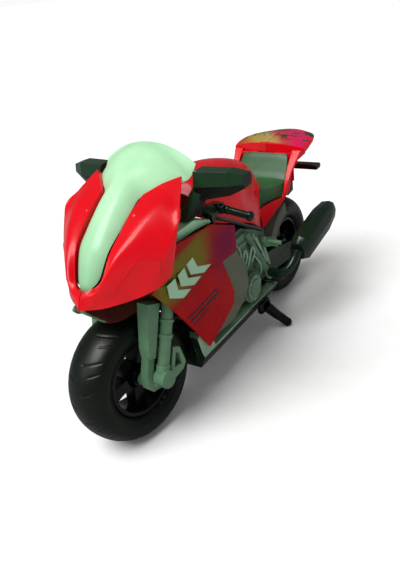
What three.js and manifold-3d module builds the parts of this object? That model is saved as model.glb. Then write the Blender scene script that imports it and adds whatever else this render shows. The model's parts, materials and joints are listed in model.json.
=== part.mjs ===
// A radio-controlled racing motorcycle, about one sixth of full size, in millimetres, +Z up.
// The bike faces -Y and its left side is +X. It stands on z = 0.
import * as THREE from 'three';
import { mergeVertices } from 'three/addons/utils/BufferGeometryUtils.js';
import Module from 'manifold-3d';

const wasm = await Module();
wasm.setup();

// ---- driving dimensions ----
const WHEELBASE = 238;
const TYRE_RADIUS = 48.5;
const TYRE_HALF_WIDTH = 17.6;
const BEAD_RADIUS = 28.6;
const AXLE_RADIUS = 3;
const FRONT_AXLE_Y = -WHEELBASE / 2;
const REAR_AXLE_Y = WHEELBASE / 2;
const SPOKES = 5;
const RAKE = THREE.MathUtils.degToRad(20);
const STEER_AT_REST = THREE.MathUtils.degToRad(-9.5);
const STEER_LIMIT = THREE.MathUtils.degToRad(14);
const HEAD_POINT = new THREE.Vector3(0, -94.5, 95.4);
const FORK_SPREAD = 30;
const FORK_OFFSET = -5.6;
const SHELL = 1.6;
const TANK_WALL = 2.1;
const GAP = 0.3;
const BORE_ALLOWANCE = 0.08;
const BODY_SHIFT_Y = -4.84;
const GROUND_CLEARANCE = 29;

// ---- colours ----
const RED = { color: 0xc9182c, roughness: 0.22, metalness: 0 };
const MINT = { color: 0xb4e3c0, roughness: 0.28, metalness: 0 };
const SAGE = { color: 0x6f9a7e, roughness: 0.45, metalness: 0 };
const OLIVE_GREY = { color: 0x56645a, roughness: 0.42, metalness: 0 };
const DARK_GREEN = { color: 0x143222, roughness: 0.38, metalness: 0 };
const SEAT_GREEN = { color: 0x2d5a3c, roughness: 0.5, metalness: 0 };
const TYRE_BLACK = { color: 0x101a15, roughness: 0.55, metalness: 0 };
const RIM_BLACK = { color: 0x0b100d, roughness: 0.4, metalness: 0 };
const STEEL = { color: 0xa9adb0, roughness: 0.3, metalness: 1 };
const NYLON = { color: 0xe6e2d3, roughness: 0.5, metalness: 0 };
const BOARD_GREEN = { color: 0x1d6a3a, roughness: 0.5, metalness: 0 };
const CELL_BLUE = { color: 0x2c4f8c, roughness: 0.4, metalness: 0 };

// ---- solids ----
function toSolid(geometry) {
  const bare = new THREE.BufferGeometry();
  bare.setAttribute('position', geometry.getAttribute('position').clone());
  if (geometry.index) bare.setIndex(geometry.index.clone());
  const merged = mergeVertices(bare, 1e-4);
  const vertProperties = new Float32Array(merged.getAttribute('position').array);
  const triVerts = new Uint32Array(merged.index.array);
  return new wasm.Manifold(new wasm.Mesh({ numProp: 3, vertProperties, triVerts }));
}

function toGeometry(solid) {
  const mesh = solid.getMesh();
  const geometry = new THREE.BufferGeometry();
  geometry.setAttribute('position', new THREE.BufferAttribute(new Float32Array(mesh.vertProperties), 3));
  geometry.setIndex(new THREE.BufferAttribute(new Uint32Array(mesh.triVerts), 1));
  geometry.computeVertexNormals();
  return geometry;
}

function join(...solids) {
  return solids.reduce((sum, solid) => sum.add(solid));
}

function cut(solid, ...tools) {
  return tools.reduce((rest, tool) => rest.subtract(tool), solid);
}

function mirrored(solid) {
  return solid.mirror([1, 0, 0]);
}

// The biggest separate body of a cut solid.
function largest(solid) {
  const bodies = solid.decompose();
  return bodies.reduce((best, body) => (body.volume() > best.volume() ? body : best));
}

function box(x0, x1, y0, y1, z0, z1) {
  const geometry = new THREE.BoxGeometry(x1 - x0, y1 - y0, z1 - z0);
  geometry.translate((x0 + x1) / 2, (y0 + y1) / 2, (z0 + z1) / 2);
  return toSolid(geometry);
}

// A box as wide on the left as on the right.
function slab(halfWidth, y0, y1, z0, z1) {
  return box(-halfWidth, halfWidth, y0, y1, z0, z1);
}

// A round bar from one point to another, with an end radius of its own.
function rod(from, to, radius, sides = 14, endRadius = radius) {
  const start = new THREE.Vector3(...from);
  const end = new THREE.Vector3(...to);
  const along = end.clone().sub(start);
  const geometry = new THREE.CylinderGeometry(endRadius, radius, along.length(), sides);
  const turn = new THREE.Quaternion().setFromUnitVectors(new THREE.Vector3(0, 1, 0), along.normalize());
  geometry.applyQuaternion(turn);
  geometry.translate((start.x + end.x) / 2, (start.y + end.y) / 2, (start.z + end.z) / 2);
  return toSolid(geometry);
}

function ball(centre, radius, sides = 10) {
  const geometry = new THREE.SphereGeometry(radius, sides, Math.round(sides * 0.6));
  geometry.translate(...centre);
  return toSolid(geometry);
}

function outline(points) {
  return new THREE.Shape(points.map(([u, v]) => new THREE.Vector2(u, v)));
}

function extruded(shape, depth, xAxis, yAxis, zAxis, origin) {
  const geometry = new THREE.ExtrudeGeometry(shape, { depth, bevelEnabled: false, curveSegments: 6 });
  const basis = new THREE.Matrix4().makeBasis(xAxis, yAxis, zAxis).setPosition(origin);
  geometry.applyMatrix4(basis);
  return toSolid(geometry);
}

const X = new THREE.Vector3(1, 0, 0);
const Y = new THREE.Vector3(0, 1, 0);
const Z = new THREE.Vector3(0, 0, 1);

// A side view outline, points [y, z], given a width in x.
function sideProfile(points, x0, x1) {
  return extruded(outline(points), x1 - x0, Y, Z, X, new THREE.Vector3(x0, 0, 0));
}

// A front view outline, points [x, z], given a length in y.
function frontProfile(points, y0, y1) {
  return extruded(outline(points), y1 - y0, X, Z, Y.clone().negate(), new THREE.Vector3(0, y1, 0));
}

// A closed body through rings of points, with a flat cap on both ends.
function loft(rings) {
  const count = rings[0].length;
  const positions = rings.flat().flatMap((p) => [p.x, p.y, p.z]);
  const index = [];
  for (let r = 0; r + 1 < rings.length; r += 1) {
    for (let i = 0; i < count; i += 1) {
      const a = r * count + i;
      const b = r * count + ((i + 1) % count);
      index.push(a, b, b + count, a, b + count, a + count);
    }
  }
  [0, rings.length - 1].forEach((r) => {
    const centre = rings[r].reduce((sum, p) => sum.add(p), new THREE.Vector3()).divideScalar(count);
    const hub = positions.length / 3;
    positions.push(centre.x, centre.y, centre.z);
    for (let i = 0; i < count; i += 1) {
      const a = r * count + i;
      const b = r * count + ((i + 1) % count);
      index.push(...(r === 0 ? [hub, b, a] : [hub, a, b]));
    }
  });
  return outwards(positions, index);
}

// Turns the faces round if they point inwards.
function outwards(positions, index) {
  const point = (i) => new THREE.Vector3(positions[3 * i], positions[3 * i + 1], positions[3 * i + 2]);
  let volume = 0;
  for (let t = 0; t < index.length; t += 3) {
    volume += point(index[t]).dot(point(index[t + 1]).cross(point(index[t + 2])));
  }
  const geometry = new THREE.BufferGeometry();
  geometry.setAttribute('position', new THREE.Float32BufferAttribute(positions, 3));
  geometry.setIndex(volume < 0 ? index.slice().reverse() : index);
  return toSolid(geometry);
}

function smooth(points, steps) {
  const curve = new THREE.CatmullRomCurve3(points, false, 'catmullrom', 0.5);
  return curve.getPoints(steps);
}

// A grid of points on the smooth surface through rows of control points.
function surface(rows, along, across) {
  const lines = rows.map((row) => smooth(row.map((p) => new THREE.Vector3(...p)), along));
  const grid = [];
  for (let i = 0; i <= along; i += 1) {
    grid.push(smooth(lines.map((line) => line[i]), across));
  }
  return grid;
}

function gridNormals(grid) {
  const clampTo = (value, limit) => Math.max(0, Math.min(limit, value));
  return grid.map((line, i) => line.map((_, j) => {
    const a = grid[clampTo(i + 1, grid.length - 1)][j].clone().sub(grid[clampTo(i - 1, grid.length - 1)][j]);
    const b = line[clampTo(j + 1, line.length - 1)].clone().sub(line[clampTo(j - 1, line.length - 1)]);
    return a.cross(b).normalize();
  }));
}

// A moulded skin: the surface through the rows, thickened to the side given by the two offsets.
function skin(rows, along, across, outer, inner) {
  const grid = surface(rows, along, across);
  const normals = gridNormals(grid);
  const layer = (offset) => grid.map((line, i) => line.map((p, j) => {
    return p.clone().addScaledVector(normals[i][j], offset);
  }));
  const faces = [layer(outer), layer(inner)];
  const width = across + 1;
  const size = (along + 1) * width;
  const positions = faces.flat(2).flatMap((p) => [p.x, p.y, p.z]);
  const index = [];
  const quad = (a, b, c, d) => index.push(a, b, c, a, c, d);
  for (let i = 0; i < along; i += 1) {
    for (let j = 0; j < across; j += 1) {
      const a = i * width + j;
      quad(a, a + width, a + width + 1, a + 1);
      quad(size + a, size + a + 1, size + a + width + 1, size + a + width);
    }
  }
  const rim = [];
  for (let i = 0; i < along; i += 1) rim.push(i * width);
  for (let j = 0; j < across; j += 1) rim.push(along * width + j);
  for (let i = along; i > 0; i -= 1) rim.push(i * width + across);
  for (let j = across; j > 0; j -= 1) rim.push(j);
  rim.forEach((a, k) => {
    const b = rim[(k + 1) % rim.length];
    quad(a, size + a, size + b, b);
  });
  return outwards(positions, index);
}

// A ring turned about an axle along X: profile points [x, radius], closed.
function turned(profile, y, z, sides) {
  const points = profile.map(([x, radius]) => new THREE.Vector2(radius, x));
  const geometry = new THREE.LatheGeometry([...points, points[0].clone()], sides);
  geometry.applyMatrix4(new THREE.Matrix4().makeBasis(Y, X.clone(), Z.clone().negate()));
  geometry.rotateX(Math.PI);
  geometry.translate(0, y, z);
  return toSolid(geometry);
}

// Part of such a ring, from one angle to another, measured from straight up towards the front.
function arched(section, y, z, from, to, steps) {
  const rings = [];
  for (let i = 0; i <= steps; i += 1) {
    const angle = THREE.MathUtils.degToRad(from + ((to - from) * i) / steps);
    rings.push(section.map(([x, radius]) => {
      return new THREE.Vector3(x, y - radius * Math.sin(angle), z + radius * Math.cos(angle));
    }));
  }
  return rings;
}

// Straight-sided spur gear teeth round a circle, from one angle to another, as outline points.
function toothOutline(teeth, module, from = 0, to = teeth) {
  const pitch = (2 * Math.PI) / teeth;
  const tip = (module * teeth) / 2 + 0.85 * module;
  const root = (module * teeth) / 2 - 1.1 * module;
  const points = [];
  for (let i = from; i < to; i += 1) {
    [[-0.25, root], [-0.1, tip], [0.1, tip], [0.25, root]].forEach(([share, radius]) => {
      const angle = (i + share) * pitch;
      points.push([radius * Math.cos(angle), radius * Math.sin(angle)]);
    });
  }
  return points;
}

// A spur gear on an axle along X.
function gear(teeth, module, bore, centre, x0, x1, phase) {
  const turnedTeeth = toothOutline(teeth, module).map(([u, v]) => [
    centre[0] + u * Math.cos(phase) - v * Math.sin(phase),
    centre[1] + u * Math.sin(phase) + v * Math.cos(phase),
  ]);
  const hole = rod([x0 - 1, ...centre], [x1 + 1, ...centre], bore);
  return cut(sideProfile(turnedTeeth, x0, x1), hole);
}

// ---- scene graph ----
const bike = new THREE.Group();
bike.position.y = BODY_SHIFT_Y;
const head = new THREE.Group();
head.position.copy(HEAD_POINT);
head.rotation.x = -RAKE;
bike.add(head);
const steering = new THREE.Group();
steering.rotation.z = STEER_AT_REST;
head.add(steering);
bike.updateMatrixWorld(true);

function add(name, solid, look, parent = bike) {
  const material = new THREE.MeshStandardMaterial(look);
  const mesh = new THREE.Mesh(toGeometry(solid), material);
  mesh.name = name;
  parent.add(mesh);
  return mesh;
}

function addPair(name, leftSolid, look, parent = bike) {
  add(`${name}_left`, leftSolid, look, parent);
  add(`${name}_right`, mirrored(leftSolid), look, parent);
}

// Moves a solid from the head or steering group's frame to the bike's frame, or back.
function between(solid, fromGroup, toGroup) {
  const matrix = toGroup.matrixWorld.clone().invert().multiply(fromGroup.matrixWorld);
  return solid.transform(matrix.elements);
}

// ---- wheels ----
const tyreProfile = [
  [-12.4, BEAD_RADIUS], [-15.4, BEAD_RADIUS + 2.6], [-TYRE_HALF_WIDTH, 37.5], [-15.6, 43], [-9, 47.2],
  [0, TYRE_RADIUS], [9, 47.2], [15.6, 43], [TYRE_HALF_WIDTH, 37.5], [15.4, BEAD_RADIUS + 2.6],
  [12.4, BEAD_RADIUS],
];

function rim(y, z, bore, spokeTurn) {
  const barrel = [[-12.6, 25.6], [-12.6, 28.2], [12.6, 28.2], [12.6, 25.6]];
  const hub = [[-11, 0], [-11, 7], [-5, 9.5], [5, 9.5], [11, 7], [11, 0]];
  let solid = join(turned(barrel, y, z, 36), turned(hub, y, z, 18));
  for (let i = 0; i < SPOKES; i += 1) {
    const angle = spokeTurn + (i * 360) / SPOKES;
    const rings = [[8.5, 3.8, 6], [26.4, 5, 4.5]].map(([radius, half, depth]) => {
      return [[-depth, -half], [depth, -half], [depth, half], [-depth, half]].map(([x, across]) => {
        return new THREE.Vector3(x, across, radius);
      });
    });
    const blade = loft(rings).rotate([angle, 0, 0]).translate([0, y, z]);
    solid = solid.add(blade);
  }
  return cut(solid, rod([-20, y, z], [20, y, z], bore, 24));
}

const runningBore = AXLE_RADIUS + BORE_ALLOWANCE;
const fixedBore = AXLE_RADIUS + GAP;
const wheelSides = 36;
const frontTyre = turned(tyreProfile, FRONT_AXLE_Y, TYRE_RADIUS, wheelSides);
const frontRim = rim(FRONT_AXLE_Y, TYRE_RADIUS, runningBore, 250);
add('front_tyre', between(frontTyre, bike, head), TYRE_BLACK, steering);
add('front_rim', between(frontRim, bike, head), RIM_BLACK, steering);
add('rear_tyre', turned(tyreProfile, REAR_AXLE_Y, TYRE_RADIUS, wheelSides), TYRE_BLACK);
add('rear_rim', rim(REAR_AXLE_Y, TYRE_RADIUS, fixedBore, 0), RIM_BLACK);

// The room that the front wheel sweeps as it is steered from one limit to the other.
const wheelRoom = turned(
  [[-20.5, 0], [-20.5, 44], [-15, 50.5], [15, 50.5], [20.5, 44], [20.5, 0]], FRONT_AXLE_Y, TYRE_RADIUS, 36,
);
function sweptByWheel() {
  const still = between(wheelRoom, bike, head);
  const steps = 6;
  let room = null;
  for (let i = 0; i <= steps; i += 1) {
    const angle = STEER_LIMIT * ((2 * i) / steps - 1) * 1.1;
    const turnedRoom = between(still.rotate([0, 0, THREE.MathUtils.radToDeg(angle)]), head, bike);
    room = room ? room.add(turnedRoom) : turnedRoom;
  }
  return room;
}
const steeringRoom = sweptByWheel();

// ---- front fork, in the steering group: x across, y to the rear, z up the steering axis ----
const axleDrop = [FRONT_AXLE_Y - HEAD_POINT.y, TYRE_RADIUS - HEAD_POINT.z];
const AXLE_Y = axleDrop[0] * Math.cos(RAKE) - axleDrop[1] * Math.sin(RAKE);
const AXLE_Z = axleDrop[0] * Math.sin(RAKE) + axleDrop[1] * Math.cos(RAKE);
const TUBE_RADIUS = 4.3;
const STEM_RADIUS = 4.4;
const CLAMP_LOW = 10;
const CLAMP_TOP = 15;
const SECTOR_TOP = 18.6;
const HEADSTOCK_LOW = 19.5;
const HEADSTOCK_TOP = 40;
const SECTOR_TEETH = 32;
const PINION_TEETH = 9;
const PINION_Y = (SECTOR_TEETH + PINION_TEETH) / 2;

function upright(x, y, z0, z1, radius, sides = 14) {
  return rod([x, y, z0], [x, y, z1], radius, sides);
}

const clampPlan = outline([[-35, -11], [35, -11], [35, 1], [12, 8], [-12, 8], [-35, 1]]);
const clampPlate = extruded(clampPlan, CLAMP_TOP - CLAMP_LOW, X, Y, Z, new THREE.Vector3(0, 0, CLAMP_LOW));
const tubeHoles = [-1, 1].map((side) => {
  return upright(side * FORK_SPREAD, FORK_OFFSET, CLAMP_LOW - 1, CLAMP_TOP + 1, TUBE_RADIUS + GAP);
});
const stem = upright(0, 0, CLAMP_LOW + 1, HEADSTOCK_TOP + 5, STEM_RADIUS, 24);

// Toothed sector behind the stem, in mesh with the servo's pinion.
const quarter = SECTOR_TEETH / 4;
const sectorEdge = toothOutline(SECTOR_TEETH, 1, quarter - 5, quarter + 6);
const sectorShape = outline([[0, -9], [9, -3], ...sectorEdge, [-9, -3]]);
const sectorBase = new THREE.Vector3(0, 0, CLAMP_TOP - 0.1);
const sector = extruded(sectorShape, SECTOR_TOP - CLAMP_TOP - 0.3, X, Y, Z, sectorBase);
add('steering_stem', join(cut(clampPlate, ...tubeHoles), stem, sector), SAGE, steering);

const forkTube = join(
  upright(FORK_SPREAD, FORK_OFFSET, -44, CLAMP_TOP + 1, TUBE_RADIUS),
  upright(FORK_SPREAD, FORK_OFFSET, -19, -16.5, TUBE_RADIUS + 0.9),
  upright(FORK_SPREAD, FORK_OFFSET, -8, -6, TUBE_RADIUS + 0.9),
  upright(FORK_SPREAD, FORK_OFFSET, -44, -38, TUBE_RADIUS + 0.7),
  rod([FORK_SPREAD - 3, FORK_OFFSET, -47.5], [FORK_SPREAD + 6.5, FORK_OFFSET, -47.5], 6.4),
);
addPair('fork_leg', forkTube, SAGE, steering);

// Box-shaped fork cover in front of the leg, narrowing to the lug that holds the axle.
const coverSide = [
  [-24.0, 5], [-11.6, 5], [-11.6, -28], [-10.6, -33], [-10.8, -44], [-1.5, -49], [-1.5, -57], [-7, -59.5],
  [-13.5, -56], [-16.5, -46], [-16.5, -35], [-19.6, -27],
];
const coverBody = cut(
  sideProfile(coverSide, 19.6, 29.2), box(26.3, 40, -30, 10, -70, -33), box(24.2, 40, -12.5, 10, -34, 10),
);
const hornLug = rod([12.4, AXLE_Y, AXLE_Z], [20, AXLE_Y, AXLE_Z], 5.2);
const axleHole = rod([0, AXLE_Y, AXLE_Z], [40, AXLE_Y, AXLE_Z], fixedBore, 24);
const tubeRoom = upright(FORK_SPREAD, FORK_OFFSET, -60, 20, TUBE_RADIUS + 1.3);
addPair('fork_cover', largest(cut(join(coverBody, hornLug), axleHole, tubeRoom)), SAGE, steering);
add('front_axle', rod([-26.2, AXLE_Y, AXLE_Z], [26.2, AXLE_Y, AXLE_Z], AXLE_RADIUS, 24), STEEL, steering);

// Triangular brake caliper behind each leg, open in the middle.
const caliperShape = outline([[-0.9, -26], [5.5, -26.5], [13.5, -38.5], [11.5, -43.5], [-0.9, -52]]);
caliperShape.holes.push(new THREE.Path([[2.2, -30], [2.2, -41], [9.4, -39.4], [5.4, -31]].map(([u, v]) => {
  return new THREE.Vector2(u, v);
})));
const caliper = extruded(caliperShape, 4.4, Y, Z, X, new THREE.Vector3(29.2, 0, 0));
const bossRoom = rod([20, FORK_OFFSET, -47.5], [45, FORK_OFFSET, -47.5], 6.4 + GAP);
const caliperTubeRoom = upright(FORK_SPREAD, FORK_OFFSET, -60, 0, TUBE_RADIUS + 1.2);
addPair('brake_caliper', largest(cut(caliper, bossRoom, caliperTubeRoom)), SAGE, steering);

// Front mudguard: a beaked arch high over the tyre.
const mudguardStations = [
  [-148.5, 116.5, 3.5, 113.4], [-146, 117.2, 9.5, 110.6], [-139, 114.6, 15.5, 104.6],
  [-129.5, 110.6, 17.2, 101.4], [-119, 108.2, 17.6, 101], [-108, 107, 17.6, 100.4],
  [-97, 103.2, 17.4, 97.6], [-89, 99.2, 17, 94.2],
];
const mudguardRows = [-1, -0.9, -0.55, 0, 0.55, 0.9, 1].map((share) => {
  const drop = Math.abs(share) ** 2.4;
  return mudguardStations.map(([y, top, half, edge]) => [share * half, y, top - (top - edge) * drop]);
});
const mudguard = skin(mudguardRows, 9, 8, 0, SHELL);
add('front_mudguard', between(mudguard, bike, head), SAGE, steering);

// ---- main frame ----
const headstock = cut(
  upright(0, 0, HEADSTOCK_LOW, HEADSTOCK_TOP, 8, 24),
  upright(0, 0, HEADSTOCK_LOW - 1, HEADSTOCK_TOP + 1, STEM_RADIUS + BORE_ALLOWANCE + 0.02, 24),
);
const SPINE_HALF = 8;
const spine = sideProfile(
  [
    [-82, 121.5], [-76, 128.6], [-40, 121.5], [0, 118.5], [60, 108.5], [104, 108.5], [113.5, 113],
    [113.5, 138], [121, 141], [121, 108], [108, 101.8], [66, 96], [40, 104], [-36, 105], [-50, 112.6],
    [-73, 120.8],
  ],
  -SPINE_HALF, SPINE_HALF,
);
const stemRoom = upright(0, 0, 0, 60, STEM_RADIUS + BORE_ALLOWANCE + 0.02, 24);
const MOTOR_CENTRE = [55.2, 62];
const motorPlates = [-1, 1].map((side) => {
  const plateX = side < 0 ? -18.4 : 15.6;
  return sideProfile([[36, 46], [64, 46], [64, 97], [36, 104]], plateX, plateX + 2.8);
});
const bulkhead = slab(17, 36, 39.5, 46, 105);
const trayRoof = slab(16.5, -50, 37, 66.5, 68.5);
const frontPost = slab(5, -48, -42, 68, 108);
const shaftHole = rod([-30, ...MOTOR_CENTRE], [0, ...MOTOR_CENTRE], 3.2);
const openSpine = cut(spine, between(stemRoom, head, bike));
const frameParts = [between(headstock, head, bike), openSpine, ...motorPlates, bulkhead, trayRoof, frontPost];
add('main_frame', cut(join(...frameParts), shaftHole), DARK_GREEN);

// ---- steering servo, in the head group ----
const servoCase = box(-6, 6, 12, 36, HEADSTOCK_LOW, HEADSTOCK_LOW + 11);
const servoHole = upright(0, PINION_Y, 0, HEADSTOCK_LOW + 6, 1.6);
add('steering_servo', cut(servoCase, servoHole), DARK_GREEN, head);
const pinionShape = outline(toothOutline(PINION_TEETH, 1));
const pinionGear = extruded(pinionShape, 2.6, X, Y, Z, new THREE.Vector3(0, 0, CLAMP_TOP + GAP));
const pinionShaft = upright(0, 0, CLAMP_TOP + 1, HEADSTOCK_LOW + 5, 1.5);
const servoPinion = add('servo_pinion', join(pinionGear, pinionShaft), NYLON, head);
servoPinion.position.y = PINION_Y;
const gapFacingStem = -Math.PI / 2 + Math.PI / PINION_TEETH;
servoPinion.rotation.z = gapFacingStem - (STEER_AT_REST * SECTOR_TEETH) / PINION_TEETH;

// ---- rear arms, gears and drive ----
const AXLE_POINT = [REAR_AXLE_Y, TYRE_RADIUS];
const ARM_INNER = 19;
const leftArm = sideProfile(
  [[38, 50], [38, 72], [66, 68], [118, 57], [127, 54], [127, 43], [118, 40.5], [60, 47]], ARM_INNER, 24,
);
const axleBossLeft = rod([ARM_INNER, ...AXLE_POINT], [26.5, ...AXLE_POINT], 9);
const axleBore = rod([-40, ...AXLE_POINT], [40, ...AXLE_POINT], runningBore, 24);
add('rear_arm_left', cut(join(leftArm, axleBossLeft), axleBore), DARK_GREEN);

const GEAR_MODULE = 1.5;
const MOTOR_TEETH = 6;
const IDLER_TEETH = 16;
const AXLE_TEETH = 17;
function gearReach(teeth, otherTeeth) {
  return (GEAR_MODULE * (teeth + otherTeeth)) / 2;
}
function pointAt(centre, distance, degrees) {
  const angle = THREE.MathUtils.degToRad(degrees);
  return [centre[0] + distance * Math.cos(angle), centre[1] + distance * Math.sin(angle)];
}
// The point at one distance from a and another from b, on the upper side of the line between them.
function meetingPoint(a, distanceA, b, distanceB) {
  const gapY = b[0] - a[0];
  const gapZ = b[1] - a[1];
  const gap = Math.hypot(gapY, gapZ);
  const along = (distanceA ** 2 - distanceB ** 2 + gap ** 2) / (2 * gap);
  const aside = Math.sqrt(distanceA ** 2 - along ** 2);
  return [a[0] + (along * gapY - aside * gapZ) / gap, a[1] + (along * gapZ + aside * gapY) / gap];
}
const idlerFront = pointAt(MOTOR_CENTRE, gearReach(MOTOR_TEETH, IDLER_TEETH), -12);
const idlerRear = meetingPoint(
  idlerFront, gearReach(IDLER_TEETH, IDLER_TEETH), AXLE_POINT, gearReach(IDLER_TEETH, AXLE_TEETH),
);
const GEAR_OUT = -27.4;
const GEAR_IN = -23.4;

// Phase that puts a tooth gap of the next gear on the last gear's tooth, along the line of centres.
function meshPhase(lastCentre, lastPhase, lastTeeth, centre, teeth) {
  const line = Math.atan2(centre[1] - lastCentre[1], centre[0] - lastCentre[0]);
  const lastOffset = ((line - lastPhase) * lastTeeth) / (2 * Math.PI);
  const facing = line + Math.PI;
  return facing + ((lastOffset + 0.5) * 2 * Math.PI) / teeth;
}
const axlePhase = 0;
const rearPhase = meshPhase(AXLE_POINT, axlePhase, AXLE_TEETH, idlerRear, IDLER_TEETH);
const frontPhase = meshPhase(idlerRear, rearPhase, IDLER_TEETH, idlerFront, IDLER_TEETH);
const motorPhase = meshPhase(idlerFront, frontPhase, IDLER_TEETH, MOTOR_CENTRE, MOTOR_TEETH);
const PIN_RADIUS = 1.8;
const pinBore = PIN_RADIUS + BORE_ALLOWANCE;
function driveGear(teeth, bore, centre, phase) {
  return gear(teeth, GEAR_MODULE, bore, centre, GEAR_OUT, GEAR_IN, phase);
}
add('axle_gear', driveGear(AXLE_TEETH, fixedBore, AXLE_POINT, axlePhase), NYLON);
add('idler_gear_rear', driveGear(IDLER_TEETH, pinBore, idlerRear, rearPhase), NYLON);
add('idler_gear_front', driveGear(IDLER_TEETH, pinBore, idlerFront, frontPhase), NYLON);
const motorGear = driveGear(MOTOR_TEETH, 0.5, MOTOR_CENTRE, motorPhase);
const motorShaft = rod([GEAR_OUT, ...MOTOR_CENTRE], [-12, ...MOTOR_CENTRE], 1.2);
add('motor_pinion', join(motorGear, motorShaft), STEEL);
add('rear_axle', rod([-31, ...AXLE_POINT], [27.5, ...AXLE_POINT], AXLE_RADIUS, 24), STEEL);

// A flat stadium round two circles, as a solid along X.
function stadium(a, radiusA, b, radiusB, x0, x1) {
  const line = Math.atan2(b[1] - a[1], b[0] - a[0]);
  const spread = Math.acos((radiusA - radiusB) / Math.hypot(b[0] - a[0], b[1] - a[1]));
  const edge = [];
  const steps = 8;
  for (let i = 0; i <= steps; i += 1) {
    const angle = line + spread + ((2 * Math.PI - 2 * spread) * i) / steps;
    edge.push([a[0] + radiusA * Math.cos(angle), a[1] + radiusA * Math.sin(angle)]);
  }
  for (let i = 0; i <= steps; i += 1) {
    const angle = line - spread + (2 * spread * i) / steps;
    edge.push([b[0] + radiusB * Math.cos(angle), b[1] + radiusB * Math.sin(angle)]);
  }
  return sideProfile(edge, x0, x1);
}
const CASE_FRONT = [54, 61];
const caseOuter = stadium(CASE_FRONT, 15.8, AXLE_POINT, 17.4, -28.2, -ARM_INNER);
const caseInner = stadium(CASE_FRONT, 14.4, AXLE_POINT, 16, -30, -22.6);
const gearPins = [idlerFront, idlerRear].map((centre) => rod([-28, ...centre], [-21, ...centre], PIN_RADIUS));
add('gear_case', cut(join(cut(caseOuter, caseInner), ...gearPins), axleBore, shaftHole), DARK_GREEN);
const coverPlate = stadium(CASE_FRONT, 15.8, AXLE_POINT, 17.4, -30, -28.5);
add('gear_case_cover', cut(coverPlate, axleBore), DARK_GREEN);

const motorCan = rod([-13, ...MOTOR_CENTRE], [13.5, ...MOTOR_CENTRE], 10, 24);
const motorHole = rod([-20, ...MOTOR_CENTRE], [-10, ...MOTOR_CENTRE], 1.4);
const motorNose = rod([-15, ...MOTOR_CENTRE], [-12, ...MOTOR_CENTRE], 3);
add('drive_motor', cut(join(motorCan, motorNose), motorHole), STEEL);

// Mudguard over the front quarter of the rear tyre, with side walls.
const huggerOuter = [[-18.8, 38], [-18.8, 49.5], [-12, 53], [12, 53], [18.8, 49.5], [18.8, 38]];
const huggerInner = [[-17.9, 36], [-17.9, 48.8], [-11.5, 51.8], [11.5, 51.8], [17.9, 48.8], [17.9, 36]];
const hugger = cut(
  loft(arched(huggerOuter, REAR_AXLE_Y, TYRE_RADIUS, 10, 62, 6)),
  loft(arched(huggerInner, REAR_AXLE_Y, TYRE_RADIUS, 6, 66, 7)),
);
add('rear_hugger', hugger, OLIVE_GREY);

// ---- power and radio ----
const cells = [[-6.9, 42.6], [6.9, 42.6], [-6.9, 56.4], [6.9, 56.4]].map(([x, z]) => {
  return rod([x, -46, z], [x, 6, z], 7.3, 12);
});
add('battery_pack', join(box(-7.1, 7.1, -45.4, 5.3, 42.2, 56.9), ...cells), CELL_BLUE);
const chips = [box(-8, 0, -20, -12, 70, 73), box(3, 9, -26, -14, 70, 78), rod([6, 4, 70], [6, 4, 80], 3.5)];
add('circuit_board', join(slab(14, -36, 12, 68.9, 70.5), ...chips), BOARD_GREEN);

// ---- belly pan ----
const bellySide = [[-71, 29], [-80, 62], [-64, 66], [-58, 44], [53.5, 43], [56, 36.5], [33, 29]];
const bellyHalf = [[27, GROUND_CLEARANCE], [34, 42.6], [33, 47], [33, 70]];
const bellyInsideHalf = [[25.8, 30.9], [31.4, 43.2], [31.4, 75]];
function bothHalves(points) {
  return [...points.map(([x, z]) => [-x, z]).reverse(), ...points];
}
const bellyOuter = sideProfile(bellySide, -36, 36).intersect(frontProfile(bothHalves(bellyHalf), -90, 60));
const bellyRoom = frontProfile(bothHalves(bellyInsideHalf), -90, 60).intersect(
  sideProfile([[-66, 30], [-75, 64], [-75, 80], [52, 80], [52, 38], [33, 30.8]], -36, 36),
);
const DOOR_HALF = 17;
const DOOR_FRONT = -49;
const DOOR_REAR = 10;
const doorOpening = slab(DOOR_HALF, DOOR_FRONT, DOOR_REAR, 20, 32);
const switchSlot = slab(2.4, 20, 29, 20, 34);
// Wall across the pan behind the front wheel.
const bellyWall = bellyOuter.intersect(slab(36, -66, -66 + SHELL, 20, 70));
// Ledge along the top of each side, under the edge of the engine casting.
const bellyLedge = bellyOuter.intersect(box(25, 36, -60, 50, 41.4, 50));
const bellyWalls = join(cut(bellyOuter, bellyRoom), bellyWall, bellyLedge, mirrored(bellyLedge));
const bellyShell = cut(bellyWalls, doorOpening, switchSlot, steeringRoom);
add('belly_pan', largest(bellyShell), OLIVE_GREY);
const doorPlate = slab(DOOR_HALF - GAP, DOOR_FRONT + GAP, DOOR_REAR - GAP, GROUND_CLEARANCE, 30.7);
add('battery_door', doorPlate, OLIVE_GREY);
const switchKnob = join(slab(2, 20.4, 25.2, 27.6, 33), slab(4, 20.4, 25.2, 31.3, 33));
add('power_switch', switchKnob, RED);

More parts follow.
